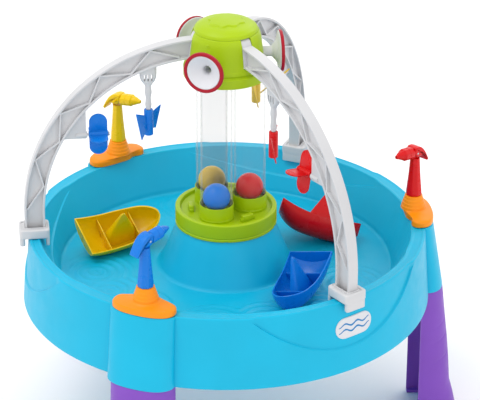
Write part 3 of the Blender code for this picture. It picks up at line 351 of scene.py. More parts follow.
settled_dust, given, result = new_group("settled_dust", {"Amount": 0.1}, ("Mask",))
place = add_node(settled_dust, "TexCoord")["Object"]
facing = add_node(settled_dust, "SeparateXYZ", {0: add_node(settled_dust, "NewGeometry")["Normal"]})["Z"]
speck = add_node(settled_dust, "TexNoise", {"Vector": place, "Scale": 24.0, "Detail": 6.0})["Fac"]
lying = add_node(settled_dust, "Math", {0: spread(settled_dust, facing, 0, 1, 0.6, 1.0),
                                        1: spread(settled_dust, speck, 0, 1, 0.42, 0.72)},
                 operation="MULTIPLY")[0]
mask = add_node(settled_dust, "Math", {0: lying, 1: given["Amount"]}, operation="MULTIPLY")[0]
settled_dust.links.new(mask, result["Mask"])
print(len(bpy.data.node_groups), "node groups")


# %% Materials
def linear(colour):
    """Screen values from 0 to 255 as linear light: ((c + 0.055) / 1.055)^2.4, or c / 12.92 near 0."""
    c = np.array(colour) / 255
    return (*np.where(c > 0.04045, ((c + 0.055) / 1.055) ** 2.4, c / 12.92), 1.0)


def mixed(tree, mask, under, over):
    """Colour under, with colour over laid on it where the mask is 1."""
    return add_node(tree, "Mix", {0: mask, 6: under, 7: over}, data_type="RGBA")[2]


def new_material(name):
    """A material with its empty node tree and its Principled shader."""
    material = bpy.data.materials.new(name)
    material.use_nodes = True
    return material, material.node_tree, material.node_tree.nodes["Principled BSDF"]


def plastic(name, colour, roughness=0.34, drift=0.05, grain=900.0, depth=0.05, worn=0.25, dust=0.05):
    """Moulded plastic: drifting colour, grain, paler rubbed edges and a breath of dust."""
    material, tree, shader = new_material(name)

    def use(group, **values):
        return add_node(tree, "Group", {key.replace("_", " "): value for key, value in values.items()},
                        node_tree=group)

    base = use(moulding, Colour=linear(colour), Drift=drift, Roughness=roughness,
               Grain_per_metre=grain, Grain_depth=depth)
    paler = linear(np.array(colour) * 0.55 + 255 * 0.45)
    shade = mixed(tree, use(rubbed_edges, Amount=worn)["Mask"], base["Colour"], paler)
    shade = mixed(tree, use(settled_dust, Amount=dust)["Mask"], shade, linear((200, 196, 186)))
    tree.links.new(shade, shader.inputs["Base Color"])
    tree.links.new(base["Roughness"], shader.inputs["Roughness"])
    tree.links.new(base["Normal"], shader.inputs["Normal"])
    shader.inputs["Specular IOR Level"].default_value = 0.28
    return material


aqua = plastic("aqua_moulding", (0, 172, 208), 0.42, 0.03, 1100.0, 0.10, 0.22, 0.015)
lime = plastic("lime_moulding", (158, 186, 0), 0.38, 0.04, 1300.0, 0.06, 0.10, 0.02)
pale_grey = plastic("pale_grey_moulding", (198, 198, 200), 0.42, 0.03, 1200.0, 0.08, 0.10, 0.03)
orange = plastic("orange_moulding", (240, 140, 0), 0.40, 0.04, 1300.0, 0.05, 0.05, 0.0)
purple = plastic("purple_moulding", (124, 72, 178), 0.44, 0.05, 1000.0, 0.10, 0.12, 0.02)
crimson = plastic("crimson_moulding", (160, 0, 30), 0.36, 0.04, 900.0, 0.05, 0.06, 0.0)
white = plastic("white_moulding", (208, 208, 212), 0.36, 0.02, 1200.0, 0.04, 0.05, 0.01)
wave_blue = plastic("wave_blue_moulding", (20, 120, 180), 0.35, 0.03, 900.0, 0.05, 0.0, 0.0)
bright = {"blue": plastic("blue_moulding", (0, 112, 205), 0.28, 0.05, 900.0, 0.04, 0.10, 0.01),
          "red": plastic("red_moulding", (205, 0, 6), 0.28, 0.05, 900.0, 0.04, 0.08, 0.01),
          "yellow": plastic("yellow_moulding", (226, 186, 0), 0.28, 0.04, 900.0, 0.04, 0.10, 0.01)}

# %% Clear tube and steel
clear, tree, shader = new_material("clear_tube")
place = add_node(tree, "TexCoord")["Object"]
stretched = add_node(tree, "Mapping", {"Vector": place, "Scale": (1.0, 1.0, 0.04)})["Vector"]
draw_lines = add_node(tree, "TexNoise", {"Vector": stretched, "Scale": 220.0, "Detail": 2.0})["Fac"]
tree.links.new(spread(tree, draw_lines, 0.06, 0.14), shader.inputs["Roughness"])
tree.links.new(add_node(tree, "Bump", {"Height": draw_lines, "Strength": 0.08,
                                       "Distance": 0.0003})["Normal"], shader.inputs["Normal"])
tint = mixed(tree, spread(tree, draw_lines, 0, 1), linear((176, 178, 174)), linear((196, 197, 193)))
tree.links.new(tint, shader.inputs["Base Color"])
glance = add_node(tree, "LayerWeight", {"Blend": 0.5})["Facing"]
skin_cover = spread(tree, glance, 0.045, 0.46, 0.55, 1.0)
haze = add_node(tree, "Math", {0: skin_cover, 1: spread(tree, draw_lines, 0.85, 1.15)},
                operation="MULTIPLY")[0]
tree.links.new(haze, shader.inputs["Alpha"])

steel, tree, shader = new_material("steel_pin")
shader.inputs["Metallic"].default_value = 1.0
place = add_node(tree, "TexCoord")["Object"]
scratches = add_node(tree, "TexNoise", {"Vector": place, "Scale": 600.0, "Detail": 3.0})["Fac"]
tree.links.new(spread(tree, scratches, 0.22, 0.42), shader.inputs["Roughness"])
tree.links.new(mixed(tree, scratches, linear((180, 180, 184)), linear((210, 210, 212))),
               shader.inputs["Base Color"])

ground, tree, shader = new_material("studio_paper")
place = add_node(tree, "TexCoord")["Object"]
fibres = add_node(tree, "TexNoise", {"Vector": place, "Scale": 3.0, "Detail": 4.0})["Fac"]
tree.links.new(mixed(tree, fibres, linear((244, 244, 245)), linear((250, 250, 250))),
               shader.inputs["Base Color"])
shader.inputs["Roughness"].default_value = 0.8
studio_floor.data.materials.append(ground)
print(len(bpy.data.materials), "materials")


# %% [markdown]
# ## Cutting
# Bores, slots and pockets could be drawn into a surface's grid, but only where the grid happens to run
# along them. Cutting a finished piece with another closed shell is simpler, and gives the crisp edge
# that a real mould core leaves.

# %% Cut shells out of a piece
def cut(piece, shells):
    """Takes closed shells out of a piece with an exact Boolean, one after another."""
    for points, faces in shells:
        mesh = bpy.data.meshes.new("core")
        mesh.from_pydata(points, [], faces)
        core = bpy.data.objects.new("core", mesh)
        bpy.context.scene.collection.objects.link(core)
        step = piece.modifiers.new("core", "BOOLEAN")
        step.operation, step.solver, step.object = "DIFFERENCE", "EXACT", core
        graph = bpy.context.evaluated_depsgraph_get()
        cut_mesh = bpy.data.meshes.new_from_object(piece.evaluated_get(graph))
        piece.modifiers.clear()
        old = piece.data
        piece.data = cut_mesh
        bpy.data.meshes.remove(old)
        bpy.data.objects.remove(core)
        bpy.data.meshes.remove(mesh)
    piece.data.name = piece.name
    piece.data.shade_smooth()
    piece.data.set_sharp_from_angle(angle=np.radians(32))
    return piece


def block(low, high, radius=0.0004):
    """A box between two corners, with its upright edges slightly rounded."""
    return slab(box_line(low[0], high[0], low[1], high[1], radius, 2), low[2], high[2], radius, steps=2)


# %% [markdown]
# ## The basin
# The basin is one large moulding: a pedestal, a floor, a wall that goes up, over the rim and down
# again as a skirt, and three lobes that take the legs. Between the lobes the wall is sunk a little
# above a smile-shaped crease, on both sides. It could be carved, but a grid is better here. Its
# columns are packed where a lobe turns, and its rows bend so that one always runs along the crease.

# %% Columns round the basin
rim_outer_r, rim_inner_r, wall, edge_r = 0.355, 0.331, 0.0035, 0.003
skirt_flare, skirt_drop = 0.0095, 0.130
basin_depth = rim_z - floor_z
lobe_half = 0.0605 / 0.3635
lobe_columns = lobe_half * np.sin(np.linspace(0, np.pi / 2, 32))
panel_columns = np.linspace(lobe_half, np.pi / 3, 42)[1:]
half_turn = np.append(lobe_columns, panel_columns)
offset = np.concatenate([-half_turn[:0:-1], half_turn[:-1]])
from_lobe = np.tile(offset, 3)
azimuth = np.concatenate([squirter_turn[colour] + offset for colour in ("yellow", "blue", "red")])
swell = np.sqrt(np.clip(1 - (np.abs(from_lobe) / lobe_half) ** 3, 0, 1))
from_arch = np.degrees(np.pi / 3 - np.abs(from_lobe))
print(len(azimuth), "columns")


# %% Walls with a crease
def crease_rows(deepest, half_angle, full_depth, share):
    """Depth below the rim for a share from 0 (edge) to 1 (crease) to 2 (foot of the wall).
    The crease is the parabola depth = deepest (1 - (angle from the arch / half angle)^2)."""
    crease = np.maximum(deepest * (1 - (from_arch / half_angle) ** 2), 2 * edge_r)
    sunk = ease(2 * edge_r, 5 * edge_r, crease)
    above = edge_r + share * (crease - edge_r)
    below = crease + (share - 1) * (full_depth - crease)
    return np.where(share <= 1, above, below), sunk * (1 - ease(0.965, 1.0, share))


def round_edge(depth):
    """How far a quarter-round edge of radius e draws back at a depth: e - sqrt(e^2 - (e - depth)^2)."""
    short = np.clip(edge_r - depth, 0, edge_r)
    return edge_r - np.sqrt(edge_r ** 2 - short ** 2)


def outer_wall(share, inside=0.0):
    """Radius and height of the skirt: it flares by 9.5 mm over its drop, and a lobe stands
    17 mm out at its top and 29.5 mm at its foot, times sqrt(1 - |offset|^3)."""
    depth, sunk = crease_rows(0.087, 31.0, skirt_drop, share)
    down = depth / skirt_drop
    r = rim_outer_r + skirt_flare * down + (0.017 + 0.0125 * down) * swell - 0.0035 * sunk - inside
    return r, rim_z - depth


def inner_wall(share, inside=0.0):
    """Radius and height of the basin's wall, which leans in by 32.5 mm down to the floor's fillet."""
    depth, sunk = crease_rows(0.046, 39.0, basin_depth - 0.006, share)
    r = rim_inner_r - 0.0325 * depth / (basin_depth - 0.006) + 0.003 * sunk + inside
    return r, rim_z - depth


def rim_edge(wall_side, depth, side):
    """The rounded edge between the rim's top and a wall; side is +1 outside and -1 inside."""
    r, _ = wall_side(0.0)
    return r - side * round_edge(depth), rim_z - depth + 0 * r


# %% Floor relief
drop_r, drop_angles = 0.235, np.radians((214, 232, 250, 288, 312, 338, 2, 100, 128))
ripple_length, ripple_high = 0.0165, 0.0021


def floor_height(r, angle):
    """Ripples ((1 + cos(2 pi d / 16.5 mm)) / 2)^1.5 round a few points on a circle, 2.1 mm high, where
    the nearest point's rings win. They fade out 62 mm from it, and towards the wall and the pedestal."""
    x, y = r * np.cos(angle), r * np.sin(angle)
    reaches = [np.hypot(x - drop_r * np.cos(q), y - drop_r * np.sin(q)) for q in drop_angles]
    nearest = np.min(reaches, axis=0)
    rings = (0.5 + 0.5 * np.cos(2 * np.pi * nearest / ripple_length)) ** 1.5
    fade = ease(0.135, 0.160, r) * (1 - ease(0.270, 0.288, r)) * (1 - ease(0.062, 0.075, nearest))
    return ripple_high * rings * fade


# %% Build the basin
def basin_points():
    """All rows of the basin's closed shell, from the middle of the pedestal's top round to below it."""
    still = 0 * azimuth
    rows = []

    def ring(r, z):
        rows.append(np.stack([(r + still) * np.cos(azimuth), (r + still) * np.sin(azimuth), z + still], -1))

    top = rim_z + 0.008
    profile = np.array([(0.0, top), (0.087, top), (0.088, top - 0.002), (0.1065, floor_z + 0.032),
                        (0.1195, floor_z + 0.004), (0.1235, floor_z)])
    line = rounded(profile, (0.0, 0.0015, 0.003, 0.02, 0.004, 0.003), 5, closed=False)
    line = finer(np.unique(line, axis=0), 0.012)
    for r, z in line:
        ring(r, z)
    for r in np.linspace(0.1265, 0.2915, 66):
        ring(r, floor_z + floor_height(r, azimuth))
    for q in np.linspace(0, np.pi / 2, 6)[1:-1]:
        ring(0.2925 + 0.006 * np.sin(q), floor_z + 0.006 * (1 - np.cos(q)))
    shares = np.concatenate([np.linspace(0.0, 0.965, 14), (0.99, 1.0, 1.004), np.linspace(1.03, 2.0, 13)])
    for share in shares[::-1]:
        ring(*inner_wall(share))
    for depth in edge_r * np.array((0.6, 0.3, 0.1, 0.0)):
        ring(*rim_edge(inner_wall, depth, -1))
    inner_edge, outer_edge = rim_edge(inner_wall, 0.0, -1)[0], rim_edge(outer_wall, 0.0, 1)[0]
    for share in np.linspace(0, 1, 13)[1:-1]:
        lowered = 0.0010 * (ease(0.06, 0.14, share) - ease(0.86, 0.94, share))
        ring(inner_edge + share * (outer_edge - inner_edge), rim_z - lowered)
    for depth in edge_r * np.array((0.0, 0.1, 0.3, 0.6)):
        ring(*rim_edge(outer_wall, depth, 1))
    shares = np.concatenate([np.linspace(0.0, 0.965, 15), (0.99, 1.0, 1.004), np.linspace(1.02, 1.99, 18)])
    for share in shares:
        ring(*outer_wall(share))
    for lift, back in ((0.0004, 0.0003), (0.0, 0.0010), (0.0, wall - 0.001), (0.0005, wall)):
        r, z = outer_wall(2.0)
        ring(r - back, z + lift)
    for share in (1.7, 1.35, 1.05, 1.0, 0.96, 0.5, 0.05):
        ring(*outer_wall(share, wall))
    ring(outer_edge - wall, rim_z - wall)
    ring(inner_edge + wall, rim_z - wall)
    for share in (0.05, 0.5, 0.96, 1.0, 1.05, 1.5, 1.95):
        ring(*inner_wall(share, wall * 1.1))
    for r, z in ((0.2935, floor_z - wall), (0.1205, floor_z - wall), (0.1155, floor_z + 0.002),
                 (0.1025, floor_z + 0.032), (0.0815, top - wall), (0.0, top - wall)):
        ring(r, z)
    return np.stack(rows)


basin = make_piece("basin", placed([skin(basin_points())]), aqua, "table", "tray", sharp=50)
print("basin", len(basin.data.polygons), "faces")

# %% [markdown]
# ## Legs
# Each leg is a half-round channel, open towards the middle, that pushes up into a lobe. It flares
# towards a flanged foot. Three curved grooves run across it, and a small oval plug covers a screw. A
# loft of C-shaped sections makes it, with the rows bent so that the grooves lie along them.

# %% Leg surface
leg_half, leg_inner, leg_reach, leg_top = 0.0578, 0.349, 0.394, rim_z - skirt_drop - 0.0003
flare_heights = np.array((0.0, 0.037, 0.065, 0.115, 0.160, 0.220, 0.255, 0.2697))
flare_shares = np.array((1.0, 0.79, 0.58, 0.48, 0.36, 0.16, 0.05, 0.0))
groove_heights, groove_depth = (0.205, 0.175, 0.135), 0.0012
foot_out, foot_side, flange_thick, leg_wall = 0.0368, 0.0018, 0.0062, 0.003


def leg_section(reach, half, q):
    """x = inner + (reach - inner) sqrt(1 - |sin q|^3) and y = half sin q, for q from -90 to 90 degrees."""
    return leg_inner + (reach - leg_inner) * np.sqrt(1 - np.abs(np.sin(q)) ** 3), half * np.sin(q)


def leg_points():
    """Rows from the foot to the top of the plug; each goes along the outside and back along the inside."""
    q = np.linspace(-np.pi / 2, np.pi / 2, 45)
    rows = []

    def ring(z, outer, half, thick, bend=0.0, groove=0.0):
        x_out, y_out = leg_section(outer - groove, half, q)
        x_in, y_in = leg_section(outer - thick, half - thick, q[::-1])
        sag = bend * np.concatenate([y_out, y_in]) ** 2 / leg_half ** 2
        rows.append(np.column_stack([np.append(x_out, x_in), np.append(y_out, y_in), z - sag]))

    levels = np.concatenate([np.linspace(0.0085, leg_top - 0.004, 46)] +
                            [height + np.array((-0.003, -0.0015, 0, 0.0015, 0.003))
                             for height in groove_heights])
    for z, thick in ((0.0, 0.011), (0.0004, 0.012), (0.0056, 0.012), (0.006, 0.0115),
                     (flange_thick, 0.0035)):
        ring(z, leg_reach + foot_out - (0.0005 if thick == 0.011 else 0), leg_half + foot_side, thick)
    for z in np.unique(levels.round(6)):
        share = np.interp(z, flare_heights, flare_shares)
        bend = 0.016 * ease(0.02, 0.10, z) * (1 - ease(0.20, leg_top - 0.005, z))
        groove = groove_depth * max(np.exp(-((z - height) / 0.0014) ** 2) for height in groove_heights)
        ring(z, leg_reach + foot_out * share, leg_half + foot_side * share, leg_wall, bend, groove)
    ring(leg_top, leg_reach - 0.0006, leg_half - 0.0004, leg_wall)
    plug_reach, plug_half = leg_reach - 0.0067, leg_half - 0.0055
    for z in np.linspace(leg_top + 0.0005, leg_top + 0.100, 5):
        ring(z, plug_reach - 0.169 * (z - leg_top), plug_half, leg_wall)
    return np.stack(rows)


def screw_cover():
    """A raised oval on the front of the leg, x^2/a^2 + z^2/b^2 = 1, pushed out by a millimetre."""
    q = np.linspace(0, 2 * np.pi, 40, endpoint=False)
    outline = np.column_stack([0.0085 * np.cos(q), 0.238 + 0.0055 * np.sin(q)])
    front = leg_reach + 0.038 * np.interp(0.238, flare_heights, flare_shares)
    return slab(outline, front - 0.004, front + 0.0008, 0.0006, "X")


for colour in colours:
    leg = make_piece(f"leg_{colour}_moulding", placed([skin(leg_points()), screw_cover()],
                     squirter_turn[colour]), purple, "table", f"leg_{colour}", sharp=45)
print("leg", len(leg.data.polygons), "faces")

# %% [markdown]
# ## The tower's foot
# A shallow round cap sits on the pedestal. Its outer ring stands up, and three thin collars inside
# hold the clear tubes, each round a seat with a drain. It is a turned profile with turned collars
# standing in it, which needs far fewer points than one carved body. Six small notches in its lower
# edge are cut from the turned dish alone, before the collars stand in it, as a cut needs one clean skin.

# %% Tower base
base_foot, base_r = rim_z + 0.0083, 0.0903
base_top = base_foot + 0.032
recess_z = base_top - 0.0065
tube_axis_r, collar_r, bore_r = 0.042, 0.0310, 0.0288
seat_z = base_top + 0.0075

profile = rounded([(0.0, base_foot + 0.012), (base_r - 0.003, base_foot + 0.012),
                   (base_r - 0.003, base_foot), (base_r, base_foot), (base_r, base_foot + 0.004),
                   (base_r - 0.0009, base_foot + 0.0048), (base_r - 0.0009, base_foot + 0.0062),
                   (base_r, base_foot + 0.007), (base_r, base_top),
                   (base_r - 0.0085, base_top), (base_r - 0.0105, recess_z), (0.0, recess_z)],
                  (0, 0.0008, 0.0005, 0.0008, 0.0004, 0.0004, 0.0004, 0.0004, 0.0026, 0.0018, 0.0012, 0),
                  4, closed=False)
dish = make_piece("tower_foot", placed([turned(profile, 120)]), lime, "table", "tower_base")
notch_half, notch_turn = 0.0035, np.radians(23.5)
notch = block((base_r - 0.0015, -notch_half, base_foot - 0.001),
              (base_r + 0.002, notch_half, base_foot + 0.0022))
cut(dish, [shell for colour in colours for side in (-1, 1)
           for shell in placed([notch], squirter_turn[colour] + side * notch_turn)])
cup_shells = []
cup_top = base_top + 0.0215
collar = rounded([(bore_r, recess_z - 0.001), (collar_r, recess_z - 0.001), (collar_r, recess_z + 0.004),
                  (collar_r - 0.0007, recess_z + 0.005), (collar_r - 0.0007, cup_top),
                  (bore_r, cup_top)], 0.0007, 3)
seat = rounded([(0.006, recess_z - 0.001), (bore_r + 0.0004, recess_z - 0.001), (bore_r + 0.0004, seat_z),
                (0.006, seat_z)], 0.0008, 3)
for colour in colours:
    cup_shells += placed([turned(collar, 72, along=True), turned(seat, 56, along=True)],
                         squirter_turn[colour], (tube_axis_r, 0, 0))
    catch = block((0.058, -0.011, recess_z - 0.001), (0.067, 0.011, base_top + 0.004), 0.0012)
    catch_foot = block((0.0585, -0.0135, recess_z - 0.001), (0.0665, 0.0135, base_top - 0.001), 0.0012)
    cup_shells += placed([catch, catch_foot], arch_turn[colour])
cups = make_piece("tower_cups", cup_shells, lime, "table")
print("tower foot", len(dish.data.polygons) + len(cups.data.polygons), "faces")

# %% [markdown]
# ## Tubes and balls
# The tubes are clear extrusions with a slightly rounded lip, and a ball floats in each. A ball is
# blown in two halves, so it carries a faint seam round its middle.

# %% Tubes and balls
tube_r, tube_wall = 0.0285, 0.002
tube_low, tube_high = corners("tube_blue")[0][2], corners("tube_blue")[1][2]
tube_line = rounded([(tube_r - tube_wall, tube_low), (tube_r, tube_low), (tube_r, tube_high),
                     (tube_r - tube_wall, tube_high)], 0.0006, 3)


def ball_line(radius):
    """A half circle of (r, z), with a seam that stands 0.15 mm out along the middle."""
    q = np.linspace(-np.pi / 2, np.pi / 2, 49)
    swollen = radius - 0.00015 + 0.00015 * np.exp(-(q / 0.03) ** 2)
    return np.column_stack([swollen * np.cos(q), swollen * np.sin(q)])


for colour in colours:
    make_piece(f"tube_{colour}_clear", placed([turned(tube_line, 96, along=True)], squirter_turn[colour],
               (tube_axis_r, 0, 0)), clear, "table", f"tube_{colour}", sharp=60)
    low, high = corners(f"ball_{colour}")
    points, faces = turned(ball_line((high - low)[2] / 2), 64)
    tilt = spun(points, np.radians(24), "X") + (low + high) / 2
    ball = make_piece(f"ball_{colour}_float", [(tilt, faces)], bright[colour], f"{colour}_ball",
                      f"ball_{colour}", sharp=60)
print("ball", np.round(ball.dimensions, 4))

# %% [markdown]
# ## The hub
# The hub is a lime bell over the tubes: a lower ring, a drum that leans in, a rounded shoulder and a
# domed lid with a splash of water in relief. The drum is a turned profile, cut for the three arches
# and the three funnels. The lid's rows bend so that one follows the splash's wavy edge.

# %% Hub body
hub_low, hub_high = corners("hub_body")[0][2], corners("hub_body")[1][2]
hub_shelf = hub_low + 0.0175
ring_r, hub_r, lid_r = 0.0742, 0.0665, 0.0555
lid_hole_r, hub_wall = 0.046, 0.0027
target_z = hub_low + 0.038
arch_half, arch_centre_r, arch_outer, arch_inner = 0.010, 0.038, 0.320, 0.284
arch_z = rim_z + 0.043
slot_foot = arch_z + np.sqrt(arch_inner ** 2 - (hub_r - arch_centre_r) ** 2) - 0.0016


def drum_r(z):
    """Radius of the hub's wall at a height, along straight stretches between its bends."""
    heights = (hub_shelf, hub_shelf + 0.0045, hub_high - 0.030, hub_high - 0.0095, hub_high - 0.003)
    steps = (0.002, 0.001, -0.003, -0.0065, -0.010)
    return hub_r + np.interp(z, heights, steps)


outside = [(ring_r - hub_wall, hub_low), (ring_r, hub_low), (ring_r, hub_shelf - 0.0010),
           (ring_r - 0.0012, hub_shelf), (hub_r + 0.0006, hub_shelf + 0.0002),
           (hub_r + 0.0006, hub_shelf + 0.0018), (hub_r + 0.0012, hub_shelf + 0.0026),
           (hub_r + 0.0003, hub_shelf + 0.0088), (hub_r - 0.0002, hub_shelf + 0.0093),
           (hub_r - 0.0035, hub_high - 0.028), (hub_r - 0.0058, hub_high - 0.0095),
           (hub_r - 0.0092, hub_high - 0.0006), (hub_r - 0.0104, hub_high), (lid_hole_r, hub_high)]
inside = [(lid_hole_r, hub_high - hub_wall), (hub_r - 0.0150, hub_high - hub_wall),
          (hub_r - 0.0100, hub_high - 0.0105), (hub_r - 0.0065, hub_high - 0.030),
          (hub_r - hub_wall, hub_shelf + 0.003), (ring_r - hub_wall, hub_shelf - 0.0015)]
bends = (0.0006, 0.0006, 0.0010, 0.0006, 0.0005, 0.0004, 0.0006, 0.0003, 0.0003, 0.006, 0.009, 0.0008,
         0.0004, 0.0005, 0.0005, 0.002, 0.003, 0.004, 0.002, 0.001)
hub = make_piece("hub_bell", placed([turned(rounded(outside + inside, bends, 4), 144, along=True)]),
                 lime, "table", "hub_body")
cores = []
for colour in colours:
    slot_core = block((0.036, -arch_half - 0.0004, slot_foot), (0.09, arch_half + 0.0004, hub_high + 0.02))
    cores += placed([slot_core], arch_turn[colour])
    throat_core = turned([(0.0, 0.045), (0.0092, 0.045), (0.0092, 0.09), (0.0, 0.09)], 40, "X")
    cores += placed([throat_core], squirter_turn[colour], (0, 0, target_z))
cut(hub, cores)
print("hub", len(hub.data.polygons), "faces")


# %% Lid with a splash
splash_depth = 0.0024


def lid_points():
    """A dome of height 19 mm whose outer part is sunk by 2.4 mm outside a wavy edge.
    The edge is r = 31 mm + 2.6 mm sin(8q) + 1.2 mm sin(3q + 1), and the rows are bent to follow it."""
    q = np.linspace(0, 2 * np.pi, 240, endpoint=False)
    splash = 0.0305 + 0.0026 * np.sin(8 * q) + 0.0012 * np.sin(3 * q + 1)
    foot = hub_high + 0.0003
    dome_r = np.array((0.0, 0.010, 0.020, 0.028, 0.035, 0.041, 0.046, 0.050, 0.053, 0.0548, 0.0555))
    dome_z = foot + np.array((0.0190, 0.0188, 0.0183, 0.0176, 0.0166, 0.0152, 0.0132, 0.0106, 0.0072,
                              0.0036, 0.0004))
    shares = np.concatenate([np.linspace(0, 0.93, 22), (0.97, 1.0, 1.02), np.linspace(1.06, 2, 26)])
    rows = []
    for share in shares:
        r = np.where(share <= 1, share * splash, splash + (share - 1) * (lid_r - splash))
        sunk = ease(0.95, 1.01, share) * (1 - ease(1.75, 2, share))
        z = np.interp(r, dome_r, dome_z) - splash_depth * sunk
        rows.append(np.stack([r * np.cos(q), r * np.sin(q), z], -1))
    for r, z in ((lid_r, foot), (lid_hole_r, foot), (lid_hole_r - 0.0003, foot - 0.004), (0.0, foot - 0.004)):
        rows.append(np.stack([r * np.cos(q), r * np.sin(q), z + 0 * q], -1))
    return np.stack(rows)


screw_q = np.linspace(0, 2 * np.pi, 32, endpoint=False)
screw_disc = slab(0.0042 * np.column_stack([np.cos(screw_q), np.sin(screw_q)]), 0, 0.0026, 0.0007, "X")
lid = make_piece("hub_lid", placed([skin(lid_points())]), lime, "table", "hub_cap")
boss_z = hub_high - 0.012
screw_bosses = placed([screw_disc], np.radians(263), (drum_r(boss_z) - 0.0018, 0, boss_z))
make_piece("hub_screw_cover", screw_bosses, lime, "table")
print("lid", len(lid.data.polygons), "faces")

# %% [markdown]
# ## Funnels
# Each squirter aims at a funnel: a white cone with a narrow throat, framed by a crimson ring. Both are
# turned round the X axis and then swung round the tower.

# %% Funnels and rings
face_r, funnel_r, throat_r, ring_width = 0.0985, 0.0365, 0.007, 0.0062
lip = funnel_r - ring_width
funnel_line = rounded([(lip, face_r - 0.006), (lip, face_r - 0.0015), (lip - 0.002, face_r - 0.0012),
                       (0.020, face_r - 0.0072), (throat_r + 0.002, face_r - 0.015),
                       (throat_r, face_r - 0.0185), (throat_r, hub_r - 0.008),
                       (throat_r + 0.0022, hub_r - 0.008), (throat_r + 0.0022, face_r - 0.019),
                       (0.021, face_r - 0.0095), (funnel_r - 0.002, face_r - 0.0072),
                       (funnel_r - 0.001, face_r - 0.006)],
                      (0.0004, 0.0006, 0.0008, 0.008, 0.003, 0.002, 0.0003, 0.0003, 0.003, 0.008, 0.001,
                       0.0004), 5)
ring_line = rounded([(lip + 0.0002, face_r - 0.0057), (funnel_r, face_r - 0.0057), (funnel_r, face_r),
                     (lip + 0.0002, face_r)], (0.0004, 0.0006, 0.0022, 0.0016), 6)
for colour in colours:
    for name, line, material, node in (("funnel", funnel_line, white, "target"),
                                       ("funnel_ring", ring_line, crimson, "target_ring")):
        shells = placed([turned(line, 88, "X", along=True)], squirter_turn[colour], (0, 0, target_z))
        make_piece(f"{name}_{colour}", shells, material, "table", f"{node}_{colour}", sharp=50)
print("funnels face out to", face_r)

# %% [markdown]
# ## Arches
# The arches are I-beams with a zigzag of ribs, like a small crane. The section is rounded once and
# carried along the quarter circle. The ribs are one slab across the web. A tab fills the hub's slot,
# and a gusset with a boss holds the paddle wheel's axle.

# %% Arch beam
wheel_mid_r, wheel_width, wheel_z, axle_r = 0.2240, 0.034, joints["blue_wheel_spin"]["pos_m"][2], 0.002
arch_foot_z = rim_z + 0.0048
tab_r = 0.0475
arch_end = np.arccos((tab_r + 0.004 - arch_centre_r) / arch_inner)


def arch_beam():
    """The I-section (r, y) at the angle a lies at x = centre + r cos a and z = centre + r sin a."""
    half, web, flange = arch_half, 0.002, 0.004
    low, high = arch_inner, arch_outer
    corners_of_section = [(low, -half), (low, half), (low + flange, half), (low + flange, web),
                          (high - flange, web), (high - flange, half), (high, half), (high, -half),
                          (high - flange, -half), (high - flange, -web), (low + flange, -web),
                          (low + flange, -half)]
    bend = (0.0008, 0.0008, 0.0007, 0.0010, 0.0010, 0.0007, 0.0008, 0.0008, 0.0007, 0.0010, 0.0010, 0.0007)
    section = rounded(corners_of_section, bend, 3)
    r, y = section[None, :, 0], section[None, :, 1]
    angles = np.linspace(0, arch_end, 72)[:, None]
    x = np.vstack([arch_centre_r + r, arch_centre_r + r * np.cos(angles)])
    z = np.vstack([arch_foot_z + 0 * r, arch_z + r * np.sin(angles)])
    return skin(np.stack([x, np.broadcast_to(y, x.shape), z], -1))


def zigzag():
    """A band 3.4 mm wide whose middle line bounces between the flanges, nine times over the arch."""
    angles = np.linspace(0.03, arch_end - 0.10, 10)
    line_r = np.where(np.arange(10) % 2, arch_inner + 0.005, arch_outer - 0.005)
    points = np.column_stack([arch_centre_r + line_r * np.cos(angles), arch_z + line_r * np.sin(angles)])
    out = np.column_stack([np.cos(angles), np.sin(angles)]) * 0.0017
    outline = np.concatenate([points - out, (points + out)[::-1]])
    return slab(outline, -arch_half + 0.0012, arch_half - 0.0012, 0.0005, "Y", 2)


def hub_tab():
    """The tab in the hub's slot: its outer side follows the drum's wall, 0.3 mm inside it."""
    levels = np.linspace(slot_foot + 0.004, hub_high - 0.0115, 8)
    outer = np.column_stack([drum_r(levels) - 0.0003, levels])
    shoulder = np.array([(hub_r - 0.0100, hub_high - 0.0045), (hub_r - 0.0140, hub_high - 0.0018)])
    outline = np.concatenate([[(tab_r, slot_foot + 0.004)], outer, shoulder, [(tab_r, hub_high - 0.0018)]])
    return slab(outline, -arch_half + 0.0003, arch_half - 0.0003, 0.0008, "Y", 3)


def axle_gusset():
    """A web in the corner under the arch and beside the wheel, with a round boss for the axle."""
    corner_x, corner_z = wheel_mid_r + wheel_width / 2 + 0.0042, wheel_z - 0.0065
    reach = arch_inner + 0.002
    lower = np.sqrt(reach ** 2 - (corner_z - arch_z) ** 2) + arch_centre_r
    upper = np.sqrt(reach ** 2 - (corner_x - arch_centre_r) ** 2) + arch_z
    a = np.linspace(np.arctan2(corner_z - arch_z, lower - arch_centre_r),
                    np.arctan2(upper - arch_z, corner_x - arch_centre_r), 8)
    curve = np.column_stack([arch_centre_r + reach * np.cos(a), arch_z + reach * np.sin(a)])
    web = slab(np.concatenate([[(corner_x, corner_z)], curve]), -0.0035, 0.0035, 0.0006, "Y", 3)
    bore = axle_r + 0.0003
    boss_line = rounded([(bore, corner_x - 0.002), (0.0055, corner_x - 0.002), (0.0055, corner_x + 0.018),
                         (bore, corner_x + 0.018)], 0.0006, 3)
    points, faces = turned(boss_line, 40, "X", along=True)
    return [web, (points + (0, 0, wheel_z), faces)]


arch_shells = [arch_beam(), zigzag(), hub_tab()] + axle_gusset()
for colour in colours:
    arch = make_piece(f"arch_{colour}_beam", placed(arch_shells, arch_turn[colour]), pale_grey, "table",
                      f"arch_{colour}")
print("arch", len(arch.data.polygons), "faces")


# %% Clamps on the rim
clamp_in, clamp_out, clamp_half = 0.315, 0.3685, 0.0225
clamp_low, clamp_top = rim_z - 0.014, rim_z + 0.018


